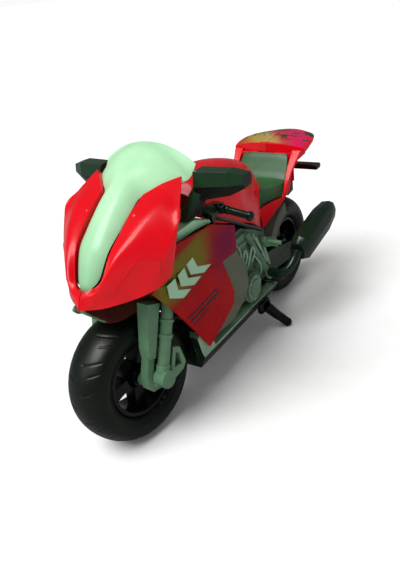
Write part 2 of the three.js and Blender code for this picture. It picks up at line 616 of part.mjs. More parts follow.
// ---- engine castings, one each side ----
const enginePlate = sideProfile(
  [[-14, 46.5], [-14, 111], [8, 112.5], [28, 103.5], [44, 95.5], [49, 89], [56, 84], [35, 78], [35, 46.5]],
  23, 26,
);
const clutchCover = join(...[[25, 31, 13], [30, 33, 11.5], [32, 33.6, 7]].map(([x0, x1, radius]) => {
  return rod([x0, 12, 58], [x1, 12, 58], radius);
}));
const frameTube = rod([29, 10, 108], [30.5, 46, 52], 3);
const cylinderBlock = sideProfile([[-12, 76], [-12, 108], [6, 109], [14, 80]], 25, 29.5);
const coolingFins = [84, 92, 100].map((z) => box(25, 31, -12, 7, z, z + 3));
const gearHump = rod([25, 32, 73], [30, 32, 73], 7);
const engineSide = join(enginePlate, clutchCover, frameTube, cylinderBlock, ...coolingFins, gearHump);
const caseClearance = stadium(CASE_FRONT, 16.4, AXLE_POINT, 18, -36, -10);
add('engine_side_left', engineSide, SAGE);
add('engine_side_right', largest(cut(mirrored(engineSide), caseClearance)), SAGE);

const pegSide = [[30, 92.5], [34, 95.5], [52, 88], [60, 80], [57, 76], [46, 82], [34, 86]];
const pegBracket = sideProfile(pegSide, 32.2, 35);
const pegBar = rod([33, 38, 90], [47, 38, 90], 1.9);
const pegFoot = box(27, 33, 36, 42, 87, 92);
addPair('footrest', join(pegBracket, pegBar, pegFoot), SAGE);

// ---- side panels and inner cowls ----
// Width of the bodywork's side at a height and length.
function sideWidth(y, z) {
  const noseTaper = 0.009 * Math.max(0, -100 - y) ** 2;
  return 41 - 0.06 * (143 - z) - noseTaper;
}

// A plate with a side view outline, bent to the bodywork's side, its outer face moved by an offset.
function bentPlate(points, offset, thickness) {
  const flat = sideProfile(points, -thickness, 0).refine(2);
  return flat.warp((vertex) => {
    vertex[0] += sideWidth(vertex[1], vertex[2]) + offset;
  });
}
const panelOutline = [
  [-124, 122.3], [-112, 134], [-104, 147], [-84.6, 145.5], [-66, 143.7], [-58, 143.6], [-25, 130],
  [-22.5, 109.5], [-44.3, 108.5], [-35.2, 91], [-28, 76], [-29.4, 65.7], [-45, 57.5], [-67.7, 48.6],
];
addPair('side_panel', bentPlate(panelOutline, 0, SHELL), RED);
const cowlOutline = [
  [-53, 50], [-57, 68], [-52, 80], [-58, 104], [-46, 107], [-19.5, 106.5], [-2.6, 84], [0.1, 66], [-8.4, 56],
  [-28, 48.5],
];
addPair('inner_cowl', bentPlate(cowlOutline, -SHELL - 0.5, SHELL), OLIVE_GREY);

// ---- nose: two cheeks and the windscreen ----
const cheekRows = [
  [[0.3, -150, 130], [6, -147, 131.5], [10.7, -141.4, 136], [13.6, -133.5, 150], [15.4, -122, 160.3],
    [16, -108.8, 169.5], [17.1, -96.4, 176.2], [25, -87, 180.5], [34.9, -77.4, 183.5]],
  [[0.3, -152, 126.5], [9, -149, 129], [14.6, -144.5, 137], [20.4, -136, 148], [27, -124, 158],
    [31, -112, 166], [34.5, -101, 172], [38.5, -94, 173.4], [41.8, -91.6, 173.4]],
  [[0.3, -154, 122.8], [9.2, -149, 123.6], [17.4, -143, 128.5], [25.4, -134, 136], [34, -124, 143.5],
    [41.2, -115, 149.8], [44.6, -109.3, 155.4], [46.2, -105.6, 160.4], [46.9, -103.9, 162.9]],
  [[0.3, -155.4, 120], [6.4, -150.2, 119], [13, -146.3, 119.3], [20, -141.2, 120.6], [27, -134.2, 121.8],
    [33, -128.5, 123.5], [38.5, -121, 126], [41, -115, 128.5], [42, -110, 131]],
];
addPair('fairing_cheek', skin(cheekRows, 13, 6, 0, -SHELL), RED);
const cheekRoom = skin(cheekRows, 13, 6, 1.2, -SHELL - 0.5);

const screenStations = [
  [-146, 130.6, 4.6, -145.4, 130.2], [-143.6, 137, 8.8, -140.6, 136], [-135.4, 153, 11.6, -131.8, 150.2],
  [-124, 164.8, 13, -120.4, 159], [-109, 176.6, 14, -107.2, 168], [-94, 186.4, 15.4, -95.4, 174.6],
  [-82, 193.6, 26, -84.5, 178], [-72, 198.2, 34.4, -75, 178.8], [-66, 199.8, 36.2, -68, 180.6],
  [-62, 200.4, 36.8, -62, 187],
];
const screenRows = [-1, -0.92, -0.6, -0.3, 0, 0.3, 0.6, 0.92, 1].map((share) => {
  const fall = Math.abs(share) ** 2.2;
  return screenStations.map(([y, z, half, edgeY, edgeZ]) => {
    return [share * half, y + (edgeY - y) * fall, z + (edgeZ - z) * fall];
  });
});
const screen = skin(screenRows, 12, 10, 0, -SHELL);
add('windscreen', largest(cut(screen, cheekRoom, mirrored(cheekRoom))), MINT);

const cockpitSide = [[-92, 151], [-72, 151.5], [-52, 144.5], [-50, 141.5], [-72, 144], [-92, 144]];
add('cockpit_panel', sideProfile(cockpitSide, -36.5, 36.5), MINT);

// ---- mirrors, bars, grips and levers ----
const mirrorOutside = [[-61.5, 181], [-52, 181.2], [-49.5, 178], [-50.5, 172.8], [-59, 172], [-62.5, 175.5]];
const mirrorMiddle = [[-66, 183.8], [-55, 184], [-52.3, 178], [-53.8, 169], [-63.4, 167.6], [-67.4, 175]];
const mirrorInside = [[-70, 184.2], [-58, 184.4], [-55.4, 178], [-57.4, 166], [-68, 163.6], [-71.4, 174]];
const mirrorRing = (points, x) => points.map(([y, z]) => new THREE.Vector3(x, y, z));
const mirrorHead = loft([
  mirrorRing(mirrorInside, 38.6), mirrorRing(mirrorMiddle, 61), mirrorRing(mirrorOutside, 70.5),
]);
const stalkTop = [[37.6, -70, 174], [44, -67, 172], [44, -57, 170], [37.6, -59, 172]];
const stalkFoot = [[27, -78, 152.5], [35, -78, 152.5], [35, -63, 151.2], [27, -63, 151.2]];
const mirrorStalk = loft([stalkTop, stalkFoot].map((ring) => ring.map((p) => new THREE.Vector3(...p))));
addPair('mirror', join(mirrorHead, mirrorStalk), DARK_GREEN);

const BAR_Y = -34;
const BAR_Z = 144.6;
const barBracket = sideProfile([[-50, 147], [-48, 151.5], [-31, 150], [-30, 142], [-42, 139.5]], 28, 33);
const BAR_RADIUS = 1.5;
// Turns a bar along X down towards its outer end.
function drooped(solid) {
  return solid.translate([-40, 0, -BAR_Z]).rotate([0, 9.5, 0]).translate([40, 0, BAR_Z + 0.8]);
}
const bar = drooped(rod([30, BAR_Y, BAR_Z], [61.5, BAR_Y, BAR_Z], BAR_RADIUS));
// Rail that runs from the bar bracket back along the tank's lower edge.
const railPath = [[31, -40, 141.5], [32.5, -12, 126.5], [32.5, 16, 111], [31, 33, 102]];
const railRods = railPath.slice(1).map((point, i) => rod(railPath[i], point, 1.5, 12));
const railBends = railPath.slice(1, 3).map((point) => ball(point, 1.5));
addPair('handlebar', join(barBracket, bar, ...railRods, ...railBends), DARK_GREEN);
const gripProfile = [
  [40, 1.8], [40, 3.2], [42, 3.2], [42, 2.7], [57.4, 2.7], [57.4, 3.6], [60, 3.6], [61, 3], [61, 1.8],
];
addPair('grip', drooped(turned(gripProfile, BAR_Y, BAR_Z, 12)), DARK_GREEN);
const leverSide = [
  [-55, 152.5], [-51, 155.5], [-43, 150.5], [-43, 147], [-46.5, 145], [-44, 139], [-46, 137], [-49, 139.5],
  [-49.6, 146.4],
];
addPair('lever', sideProfile(leverSide, 33.4, 36.8), DARK_GREEN);

// ---- tank, seat and tail ----
const tankStations = [
  [-40, 157.5, 18, 141], [-31, 165, 23, 133], [-12, 168, 27, 125], [8, 167, 29, 118], [28, 163, 28.2, 109],
  [45, 157.5, 24, 99], [58, 151, 19.4, 96], [68, 144.4, 14.6, 96], [74, 137, 10, 96],
];
const tankRows = [-1, -0.97, -0.85, -0.6, -0.3, 0, 0.3, 0.6, 0.85, 0.97, 1].map((share) => {
  const turn = (share * Math.PI) / 2;
  const across = Math.sign(share) * Math.abs(Math.sin(turn)) ** 0.8;
  const rise = Math.abs(Math.cos(turn)) ** 0.62;
  return tankStations.map(([y, top, half, low]) => [across * half, y, low + (top - low) * rise]);
});
const seatRoomUnderTank = slab(40, 50.5, 90, 80, 129);
const tank = cut(skin(tankRows, 9, 14, 0, TANK_WALL), seatRoomUnderTank);
add('fuel_tank', largest(tank), RED);

const seatStations = [
  [51.6, 127.6, 17, 113.4, 17.4], [62, 126.2, 19, 112.6, 18.8], [80, 123.6, 22.2, 111, 21.4],
  [95, 122.6, 23.8, 109.6, 23.4], [101, 126, 24.2, 109.4, 23.6], [106, 133.6, 24, 110, 23.2],
  [110, 140.6, 23, 112, 22.6], [112.8, 143.6, 21.6, 116, 21.2],
];
const seatRings = seatStations.map(([y, top, topHalf, low, lowHalf]) => {
  return [[-lowHalf, low], [lowHalf, low], [topHalf + 0.6, top - 4], [topHalf, top - 1], [topHalf - 2, top],
    [0, top + 0.4], [2 - topHalf, top], [-topHalf, top - 1], [-topHalf - 0.6, top - 4]].map(([x, z]) => {
    return new THREE.Vector3(x, y, z);
  });
});
add('seat', loft(seatRings), SEAT_GREEN);

// Half of the tail: a thin wing with an arched front, and a flank that runs forward under the seat.
const tailStations = [
  [114.2, 152, 5.6, 35.4, 146.8, 141.6], [124, 153, 6, 36.2, 148.6, 142.8], [138, 153.6, 5, 35, 149.6, 146],
  [152, 153, 4, 30.4, 149.8, 147], [163, 152.2, 2, 24, 149.6, 147.4], [172, 151.2, 0.6, 15, 149.2, 147.4],
  [176.6, 150, 0, 7, 148.8, 147.6],
];
const tailRings = tailStations.map(([y, top, sweep, half, edge, low]) => {
  const points = [[0, top], [0.35, top - 0.3], [0.7, top - 1.6], [1, edge], [0.96, low], [0, low + 0.4]];
  return points.map(([share, z]) => {
    return new THREE.Vector3(0.15 + share * half, y + sweep * share * share, z);
  });
});
const tailRoom = tailRings.slice(0, 5).map((ring) => ring.map((p) => {
  return new THREE.Vector3(1.8 + p.x * 0.88, p.y + 2.4, p.z - 1.9);
}));
const tailWing = cut(loft(tailRings), loft(tailRoom));
const flankOutline = [
  [53, 111], [57.5, 91.5], [74, 99.5], [90, 107.5], [99, 115], [102, 129], [112, 138.5], [123, 141.5],
  [124, 146], [116, 146], [104, 134], [96, 122], [91, 110.6], [70, 111.4],
];
// The flank fills the width from just outside the seat to the edge of the wing.
const flank = sideProfile(flankOutline, 0, 1).refine(2).warp((vertex) => {
  const back = vertex[1] - 53;
  const inner = Math.min(25.2, 18.4 + 0.19 * back);
  const outer = 20.4 + 0.173 * back + 0.067 * Math.max(0, back - 31);
  vertex[0] = inner + (outer - inner) * vertex[0];
});
const seatBackPlate = box(8.4, 27, 113.2, 115, 118, 144);
addPair('tail_cowl', join(tailWing, flank, seatBackPlate), RED);

const plateSide = [
  [121.6, 112], [121.6, 139.5], [131, 141.5], [135, 128], [146, 118], [146, 106], [152, 106], [152, 95],
  [140, 93], [128, 104],
];
const plateBody = sideProfile(plateSide, -9, 9);
const signalSide = [[127.6, 125], [127.6, 129.8], [136.4, 129.8], [138, 127.4], [136.4, 125]];
const signalBlade = sideProfile(signalSide, -44, 44);
add('tail_bracket', join(plateBody, signalBlade), RIM_BLACK);

// ---- exhaust ----
const mufflerSection = [
  [-0.5, -0.42], [0, -0.5], [0.42, -0.38], [0.5, 0], [0.36, 0.4], [0, 0.5], [-0.36, 0.44], [-0.5, 0.1],
];
function mufflerRing(y, x, z, wide, tall) {
  return mufflerSection.map(([a, b]) => new THREE.Vector3(x + a * wide, y - b * tall * 0.24, z + b * tall));
}
const muffler = loft([
  mufflerRing(56, 54, 75, 12, 16), mufflerRing(62, 54, 76, 17, 25), mufflerRing(104, 56.4, 86.2, 18, 24),
  mufflerRing(120, 57.4, 90.6, 15, 18), mufflerRing(124, 57.6, 91.6, 11, 13),
]);
const tailPipeHole = rod([57.4, 116, 89.7], [57.8, 130, 93], 4);
add('muffler', cut(muffler, tailPipeHole), DARK_GREEN);
const pipePath = new THREE.CatmullRomCurve3([
  [34.8, 40, 60], [39, 38.4, 60], [45, 38, 61.4], [51, 41, 65], [53.6, 47, 70.6], [54, 54.6, 75.4],
].map((p) => new THREE.Vector3(...p)));
const pipeSection = new THREE.Shape(Array.from({ length: 12 }, (_, i) => {
  return new THREE.Vector2(4 * Math.cos((i * Math.PI) / 6), 4 * Math.sin((i * Math.PI) / 6));
}));
const pipeOptions = { steps: 12, extrudePath: pipePath, bevelEnabled: false };
add('exhaust_pipe', toSolid(new THREE.ExtrudeGeometry(pipeSection, pipeOptions)), DARK_GREEN);

// ---- stabiliser legs that keep the bike upright ----
const FOOT_RADIUS = 4.2;
const footCentre = [43, 51.5, FOOT_RADIUS + 0.1];
const stabiliser = join(
  sideProfile([[22, 33.5], [40, 33.5], [43, 28], [36, 22.5], [26, 23.5]], 27.6, 31),
  rod([29.6, 36, 27], [36, 43.6, 15.2], 5, 12, 4.4), rod([35.4, 42.8, 16.4], footCentre, 4.4, 12, 3.8),
  ball(footCentre, FOOT_RADIUS),
);
const bellyClearance = frontProfile(
  [[-34.4, 60], [-34.4, 42.4], [-27.4, 28.7], [27.4, 28.7], [34.4, 42.4], [34.4, 60]], -90, 70,
);
addPair('stabiliser', largest(cut(stabiliser, bellyClearance)), RIM_BLACK);

export default bike;
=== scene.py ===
"""A radio-controlled racing motorcycle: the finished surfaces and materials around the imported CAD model."""

import json
import math
from math import cos, pi, radians, sin

import bmesh
import bpy
from mathutils import Matrix, Vector


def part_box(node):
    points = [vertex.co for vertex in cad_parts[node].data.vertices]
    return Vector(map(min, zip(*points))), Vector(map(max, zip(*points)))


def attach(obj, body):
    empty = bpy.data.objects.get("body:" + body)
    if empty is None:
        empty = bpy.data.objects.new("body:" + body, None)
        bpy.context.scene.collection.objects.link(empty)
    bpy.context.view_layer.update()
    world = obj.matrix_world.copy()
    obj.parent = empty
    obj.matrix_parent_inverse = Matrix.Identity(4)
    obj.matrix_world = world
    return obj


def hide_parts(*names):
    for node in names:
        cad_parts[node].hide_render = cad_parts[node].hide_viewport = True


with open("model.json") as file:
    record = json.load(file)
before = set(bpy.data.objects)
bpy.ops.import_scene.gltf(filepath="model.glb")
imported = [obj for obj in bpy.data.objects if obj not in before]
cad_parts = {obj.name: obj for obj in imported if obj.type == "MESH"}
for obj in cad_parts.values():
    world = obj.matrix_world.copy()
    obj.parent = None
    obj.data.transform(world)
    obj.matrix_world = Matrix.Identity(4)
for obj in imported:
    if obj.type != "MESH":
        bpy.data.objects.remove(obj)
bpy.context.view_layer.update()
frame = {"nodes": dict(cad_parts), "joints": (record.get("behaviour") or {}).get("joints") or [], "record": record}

# ---- the bike's own frame: millimetres, wheel centres half a wheelbase before and behind y = 0 ----
MM = 0.001
HALF_WHEELBASE = 119
TYRE_RADIUS = 48.5
rear_low, rear_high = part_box("rear_tyre")
SHIFT_Y = (rear_low.y + rear_high.y) / 2 - HALF_WHEELBASE * MM
joints = {joint["name"]: joint for joint in frame["joints"]}
STEER_POINT = Vector(joints["steering"]["pos_m"])
STEER_AXIS = Vector(joints["steering"]["axis"]).normalized()
RAKE = math.atan2(STEER_AXIS.y, STEER_AXIS.z)
wheel_axis = Vector(joints["front_wheel_spin"]["axis"])
STEER_ANGLE = (Matrix.Rotation(RAKE, 3, "X") @ wheel_axis).to_2d().angle_signed(Vector((1, 0)))
STEERED = (
    Matrix.Translation(STEER_POINT)
    @ Matrix.Rotation(STEER_ANGLE, 4, STEER_AXIS)
    @ Matrix.Translation(-STEER_POINT)
)
BIKE = Matrix.Translation((0, SHIFT_Y, 0))
SCALE = Matrix.Scale(MM, 4)
WALL = 1.6
MERGE_GAP = 2e-6
FLAT_ANGLE = 1.5
SMOOTH_ANGLE = 33


# ---- materials ----
def node_tree(name):
    material = bpy.data.materials.new(name)
    material.use_nodes = True
    nodes = material.node_tree.nodes
    return material, nodes, material.node_tree.links, nodes["Principled BSDF"]


def noise(nodes, links, scale, detail=3.0, stretch=(1, 1, 1)):
    """A noise texture on the object's own coordinates, scale in features per metre."""
    place = nodes.new("ShaderNodeTexCoord")
    mapping = nodes.new("ShaderNodeMapping")
    mapping.inputs["Scale"].default_value = stretch
    texture = nodes.new("ShaderNodeTexNoise")
    texture.inputs["Scale"].default_value = scale
    texture.inputs["Detail"].default_value = detail
    links.new(place.outputs["Object"], mapping.inputs["Vector"])
    links.new(mapping.outputs["Vector"], texture.inputs["Vector"])
    return texture.outputs["Fac"]


def ramp(nodes, links, value, stops):
    """A colour ramp over a value: stops are (place, colour)."""
    node = nodes.new("ShaderNodeValToRGB")
    elements = node.color_ramp.elements
    while len(elements) < len(stops):
        elements.new(0.5)
    for element, (place, colour) in zip(elements, stops):
        element.position = place
        element.color = (*colour, 1) if len(colour) == 3 else colour
    links.new(value, node.inputs["Fac"])
    return node.outputs["Color"]


def math_node(nodes, links, operation, a, b):
    node = nodes.new("ShaderNodeMath")
    node.operation = operation
    for socket, value in zip(node.inputs, (a, b)):
        if isinstance(value, (int, float)):
            socket.default_value = value
        else:
            links.new(value, socket)
    return node.outputs["Value"]


def mixed(nodes, links, share, a, b):
    """Colour a where share is 0 and b where it is 1; either may be a colour or a socket."""
    node = nodes.new("ShaderNodeMix")
    node.data_type = "RGBA"
    links.new(share, node.inputs["Factor"])
    for socket, value in ((node.inputs["A"], a), (node.inputs["B"], b)):
        if isinstance(value, tuple):
            socket.default_value = (*value, 1)
        else:
            links.new(value, socket)
    return node.outputs["Result"]


def srgb(code):
    """A linear colour from a six-digit sRGB code."""
    channels = [int(code[i:i + 2], 16) / 255 for i in (0, 2, 4)]
    return tuple(c / 12.92 if c <= 0.04045 else ((c + 0.055) / 1.055) ** 2.4 for c in channels)


def shade(colour, share):
    return tuple(min(1.0, c * share) for c in colour)


def surface_finish(nodes, links, shader, roughness, spread, grain, strength):
    """Uneven roughness, and a fine moulded texture of that grain in features per metre."""
    patches = noise(nodes, links, 45, 4)
    low = (roughness - spread,) * 3
    high = (roughness + spread,) * 3
    links.new(ramp(nodes, links, patches, [(0.3, low), (0.7, high)]), shader.inputs["Roughness"])
    bump = nodes.new("ShaderNodeBump")
    bump.inputs["Strength"].default_value = strength
    bump.inputs["Distance"].default_value = 0.0002
    links.new(noise(nodes, links, grain, 2), bump.inputs["Height"])
    links.new(bump.outputs["Normal"], shader.inputs["Normal"])


def coated(shader, shine, coat):
    """A thin clear coat over a surface whose own highlights have that strength."""
    shader.inputs["Specular IOR Level"].default_value = shine
    shader.inputs["Coat Weight"].default_value = coat
    shader.inputs["Coat Roughness"].default_value = 0.12


def plastic(name, code, roughness, coat=0.0, grain=2600, strength=0.12, vary=0.16, spread=0.05, shine=0.3):
    """Moulded plastic with faint cloudiness in its colour and a fine surface texture."""
    material, nodes, links, shader = node_tree(name)
    colour = srgb(code)
    clouds = noise(nodes, links, 60, 4)
    stops = [(0.25, shade(colour, 1 - vary)), (0.75, shade(colour, 1 + vary))]
    links.new(ramp(nodes, links, clouds, stops), shader.inputs["Base Color"])
    surface_finish(nodes, links, shader, roughness, spread, grain, strength)
    coated(shader, shine, coat)
    return material


def metal(name, code, roughness):
    """Turned metal with fine scratches along X."""
    material, nodes, links, shader = node_tree(name)
    scratches = noise(nodes, links, 900, 3, (0.05, 1, 1))
    colour = srgb(code)
    stops = [(0.3, shade(colour, 0.8)), (0.7, colour)]
    links.new(ramp(nodes, links, scratches, stops), shader.inputs["Base Color"])
    surface_finish(nodes, links, shader, roughness, 0.08, 1800, 0.1)
    shader.inputs["Metallic"].default_value = 1.0
    return material


def place_value(nodes, links, direction, start, end):
    """0 to 1 along a direction on the object's own axes, between two distances in metres."""
    place = nodes.new("ShaderNodeTexCoord")
    dot = nodes.new("ShaderNodeVectorMath")
    dot.operation = "DOT_PRODUCT"
    dot.inputs[1].default_value = direction
    links.new(place.outputs["Object"], dot.inputs[0])
    spread = nodes.new("ShaderNodeMapRange")
    spread.inputs["From Min"].default_value = start
    spread.inputs["From Max"].default_value = end
    spread.interpolation_type = "SMOOTHSTEP"
    links.new(dot.outputs["Value"], spread.inputs["Value"])
    return spread.outputs["Result"]


def mint_gloss():
    """Pale mint plastic, with painted shade that darkens it down the tongue."""
    material, nodes, links, shader = node_tree("mint_gloss")
    clouds = ramp(nodes, links, noise(nodes, links, 60, 4), [(0.25, srgb("a4d8aa")), (0.75, srgb("b2e0b5"))])
    # Painted shade: a darker green low on the tongue, blending into the plain mint above.
    painted_shade_fade = place_value(nodes, links, (0, 0, 1), 0.122, 0.182)
    links.new(mixed(nodes, links, painted_shade_fade, srgb("7db088"), clouds), shader.inputs["Base Color"])
    surface_finish(nodes, links, shader, roughness=0.34, spread=0.05, grain=700, strength=0.03)
    coated(shader, 0.3, 0.15)
    return material


RED = plastic("red_gloss", "cf0012", 0.3, coat=0.2, grain=500, strength=0.03, vary=0.07,
              spread=0.04, shine=0.22)
MINT = mint_gloss()
SAGE = plastic("sage_satin", "54775a", 0.36, coat=0.05)
# A lighter sage used as painted light on the belly pan's upper ledge.
PAINTED_LIGHT_SAGE = plastic("painted_light_sage", "7f9f83", 0.4)
ENGINE = plastic("engine_sage", "56705c", 0.38)
HOSE = plastic("hose_sage", "7a987e", 0.4)
# Painted shade and painted red reflection for the mudguard's top.
GUARD_TOP_SHADE = plastic("mudguard_top_painted_shade", "4a2018", 0.34, coat=0.1)
OLIVE = plastic("olive_satin", "57594a", 0.38, shine=0.2)
MIRROR_GREEN = plastic("mirror_green", "12301a", 0.22, coat=0.3)
# A purple-grey: the battery door's own colour, painted shade under the belly pan and a painted purple sheen on the
# muffler's lower faces.
GREY_SHADE_AND_SHEEN = plastic("grey_shade_and_sheen", "2b242b", 0.3, coat=0.1)
DARK_GREEN = plastic("dark_green_satin", "0c2013", 0.24, coat=0.2)
SEAT_GREEN = plastic("seat_green", "2c5530", 0.36, grain=3400, strength=0.2, shine=0.35)
BLACK = plastic("black_plastic", "050806", 0.3, coat=0.05)
RUBBER = plastic("tyre_rubber", "081009", 0.34, grain=3000, strength=0.25, vary=0.3)
NYLON = plastic("nylon", "e0dac6", 0.45)
BOARD = plastic("circuit_board", "14582f", 0.35, coat=0.3)
SLEEVE = plastic("cell_sleeve", "1f4078", 0.3, coat=0.3)
GRAPHIC_MINT = plastic("graphic_mint", "8fb598", 0.3, coat=0.2, vary=0.05, strength=0.03)
GRAPHIC_DARK = plastic("graphic_dark", "12080a", 0.3, coat=0.2, vary=0.05, strength=0.03)
STEEL = metal("steel", "b4b7ba", 0.3)


def band(nodes, links, direction, rise, fall):
    """1 between two soft edges along a direction, 0 outside them: each edge is (start, end) in metres."""
    back = tuple(-part for part in direction)
    up = place_value(nodes, links, direction, *rise)
    down = place_value(nodes, links, back, -fall[1], -fall[0])
    return math_node(nodes, links, "MULTIPLY", up, down)


def printed(nodes, links, shader, colour):
    """A printed surface: a colour socket under an almost dull film."""
    links.new(colour, shader.inputs["Base Color"])
    surface_finish(nodes, links, shader, roughness=0.28, spread=0.04, grain=500, strength=0.03)
    coated(shader, 0.06, 0.02)


def panel_graphic():
    """Red darkened as painted shade, with a soft olive patch round the block graphic and a purple one behind it.
    """
    material, nodes, links, shader = node_tree("panel_graphic")
    along, across = (0, 0.98, 0.2), (0, -0.2, 0.98)
    # Painted shade: this red is darker than the red of the other bodywork because the panel stands in shade.
    clouds = ramp(nodes, links, noise(nodes, links, 60, 4), [(0.25, srgb("8c0009")), (0.75, srgb("9e000a"))])
    patch_length = band(nodes, links, along, (-0.112, -0.094), (-0.056, -0.012))
    patch_width = band(nodes, links, across, (0.112, 0.136), (0.152, 0.166))
    patch = math_node(nodes, links, "MULTIPLY", patch_length, patch_width)
    worn = math_node(nodes, links, "MULTIPLY", patch, 0.92)
    fade = ramp(nodes, links, worn, [(0.0, srgb("920009")), (0.45, srgb("64200a")), (0.9, srgb("5c5e16"))])
    base = mixed(nodes, links, worn, clouds, fade)
    blot_length = band(nodes, links, along, (-0.045, -0.026), (-0.012, 0.006))
    blot_width = band(nodes, links, across, (0.1, 0.125), (0.135, 0.152))
    blot = math_node(nodes, links, "MULTIPLY", blot_length, blot_width)
    printed(nodes, links, shader, mixed(nodes, links, blot, base, srgb("6c0030")))
    return material


def tail_graphic():
    """Printed tail top: olive to magenta across it, with dark patches and fine wavy lines."""
    material, nodes, links, shader = node_tree("tail_graphic")
    across = place_value(nodes, links, (0.82, 0.57, 0), 0.034, 0.104)
    stops = [(0.0, srgb("a8161c")), (0.22, srgb("a08a3c")), (0.5, srgb("a58f52")), (0.7, srgb("b83a3c")),
             (0.88, srgb("c81a52"))]
    base = ramp(nodes, links, across, stops)
    patches = noise(nodes, links, 55, 2, (1.0, 1.8, 1))
    patch_mask = ramp(nodes, links, patches, [(0.55, (0, 0, 0)), (0.58, (1, 1, 1))])
    rearward = band(nodes, links, (0.1, 1, 0), (0.118, 0.132), (0.158, 0.17))
    cover = math_node(nodes, links, "MULTIPLY", patch_mask, rearward)
    patched = mixed(nodes, links, cover, base, srgb("2c3a20"))
    waves = nodes.new("ShaderNodeTexWave")
    waves.inputs["Scale"].default_value = 55
    waves.inputs["Distortion"].default_value = 7
    waves.inputs["Detail"].default_value = 1
    place = nodes.new("ShaderNodeTexCoord")
    links.new(place.outputs["Object"], waves.inputs["Vector"])
    line_mask = ramp(nodes, links, waves.outputs["Fac"], [(0.9, (0, 0, 0)), (0.96, (1, 1, 1))])
    lines_area = band(nodes, links, (0, 1, 0), (0.125, 0.138), (0.16, 0.17))
    lines = math_node(nodes, links, "MULTIPLY", line_mask, lines_area)
    printed(nodes, links, shader, mixed(nodes, links, lines, patched, srgb("3f3a34")))
    return material


PANEL_GRAPHIC = panel_graphic()
TAIL_GRAPHIC = tail_graphic()


# ---- meshes ----
def build(name, vertices, faces, materials, to_world=BIKE, smooth_angle=SMOOTH_ANGLE):
    """A mesh object from points in millimetres."""
    mesh = bpy.data.meshes.new(name)
    matrix = to_world @ SCALE
    mesh.from_pydata([matrix @ Vector(v) for v in vertices], [], faces)
    work = bmesh.new()
    work.from_mesh(mesh)
    bmesh.ops.remove_doubles(work, verts=work.verts, dist=MERGE_GAP)
    bmesh.ops.recalc_face_normals(work, faces=work.faces)
    work.to_mesh(mesh)
    work.free()
    return finish_mesh(name, mesh, materials, smooth_angle)


def finish_mesh(name, mesh, materials, smooth_angle):
    """An object from a mesh, smooth but for the edges sharper than the angle in degrees."""
    mesh.shade_smooth()
    mesh.set_sharp_from_angle(angle=radians(smooth_angle))
    for material in materials if isinstance(materials, (list, tuple)) else [materials]:
        mesh.materials.append(material)
    piece = bpy.data.objects.new(name, mesh)
    bpy.context.scene.collection.objects.link(piece)
    return piece


def bevelled(piece, width, segments=2, angle=38):
    """Rounds every edge sharper than the angle, by a width in millimetres."""
    bevel = piece.modifiers.new("edge_round", "BEVEL")
    bevel.width = width * MM
    bevel.segments = segments
    bevel.limit_method = "ANGLE"
    bevel.angle_limit = radians(angle)
    bevel.use_clamp_overlap = True
    bevel.harden_normals = True
    return piece


def thickened(piece):
    """Gives an open sheet the moulding's wall, inwards."""
    shell = piece.modifiers.new("wall", "SOLIDIFY")
    shell.thickness = WALL * MM
    shell.offset = -1
    shell.use_even_offset = False
    return piece


body_of_node = {
    node: body for body, members in frame["record"]["behaviour"]["bodies"].items() for node in members
}


def placed(piece, node):
    """The piece stands for a CAD node and rides on the node's body."""
    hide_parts(node)
    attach(piece, body_of_node[node])
    return piece


def catmull(points, steps):
    """Points on the smooth curve through the control points, at even parameter steps."""
    ends = [2 * points[0] - points[1], *points, 2 * points[-1] - points[-2]]
    last = len(points) - 1
    curve = []
    for i in range(steps + 1):
        place = i * last / steps
        k = min(int(place), last - 1)
        t = place - k
        a, b, c, d = ends[k:k + 4]
        curve.append(0.5 * (2 * b + (c - a) * t + (2 * a - 5 * b + 4 * c - d) * t ** 2
                            + (3 * b - a - 3 * c + d) * t ** 3))
    return curve


def smoothed(stations, steps):
    """Stations of numbers, filled in so that each number follows a smooth curve."""
    curves = [catmull([Vector((value, 0, 0)) for value in values], steps) for values in zip(*stations)]
    return [[point.x for point in points] for points in zip(*curves)]


def grid_faces(rows, columns, start=0):
    return [
        (start + i * columns + j, start + (i + 1) * columns + j,
         start + (i + 1) * columns + j + 1, start + i * columns + j + 1)
        for i in range(rows - 1) for j in range(columns - 1)
    ]


def ring_faces(count, size, round_trip=False, closed=True):
    """Faces between neighbouring rings of points; round_trip joins the last ring to the first."""
    faces = []
    for i in range(count if round_trip else count - 1):
        for j in range(size if closed else size - 1):
            a, b = i * size + j, i * size + (j + 1) % size
            ahead = (i + 1) % count * size
            faces.append((a, b, ahead + (j + 1) % size, ahead + j))
    return faces


def lofted(name, rings, materials, smooth_angle=SMOOTH_ANGLE):
    """A closed piece through rings of points, with a flat cap at each end."""
    points = [p for ring in rings for p in ring]
    size = len(rings[0])
    faces = ring_faces(len(rings), size)
    faces += [tuple(range(size)), tuple(range(len(points) - size, len(points)))[::-1]]
    return build(name, points, faces, materials, smooth_angle=smooth_angle)


def sheet_piece(name, grid, materials, to_world=BIKE, flip=False):
    """An open sheet through a grid of points, facing outwards from the bike's middle."""
    points = [p for line in grid for p in line]
    faces = grid_faces(len(grid), len(grid[0]))
    if flip:
        faces = [face[::-1] for face in faces]
    mesh = bpy.data.meshes.new(name)
    matrix = to_world @ SCALE
    mesh.from_pydata([matrix @ p for p in points], [], faces)
    return finish_mesh(name, mesh, materials, 40)


def mirror_points(grid):
    return [[Vector((-p.x, p.y, p.z)) for p in line] for line in grid]


def both_sides(make):
    """Calls make(suffix, side) for the left side, +1, and the right side, -1."""
    for suffix, side in (("left", 1), ("right", -1)):
        make(suffix, side)


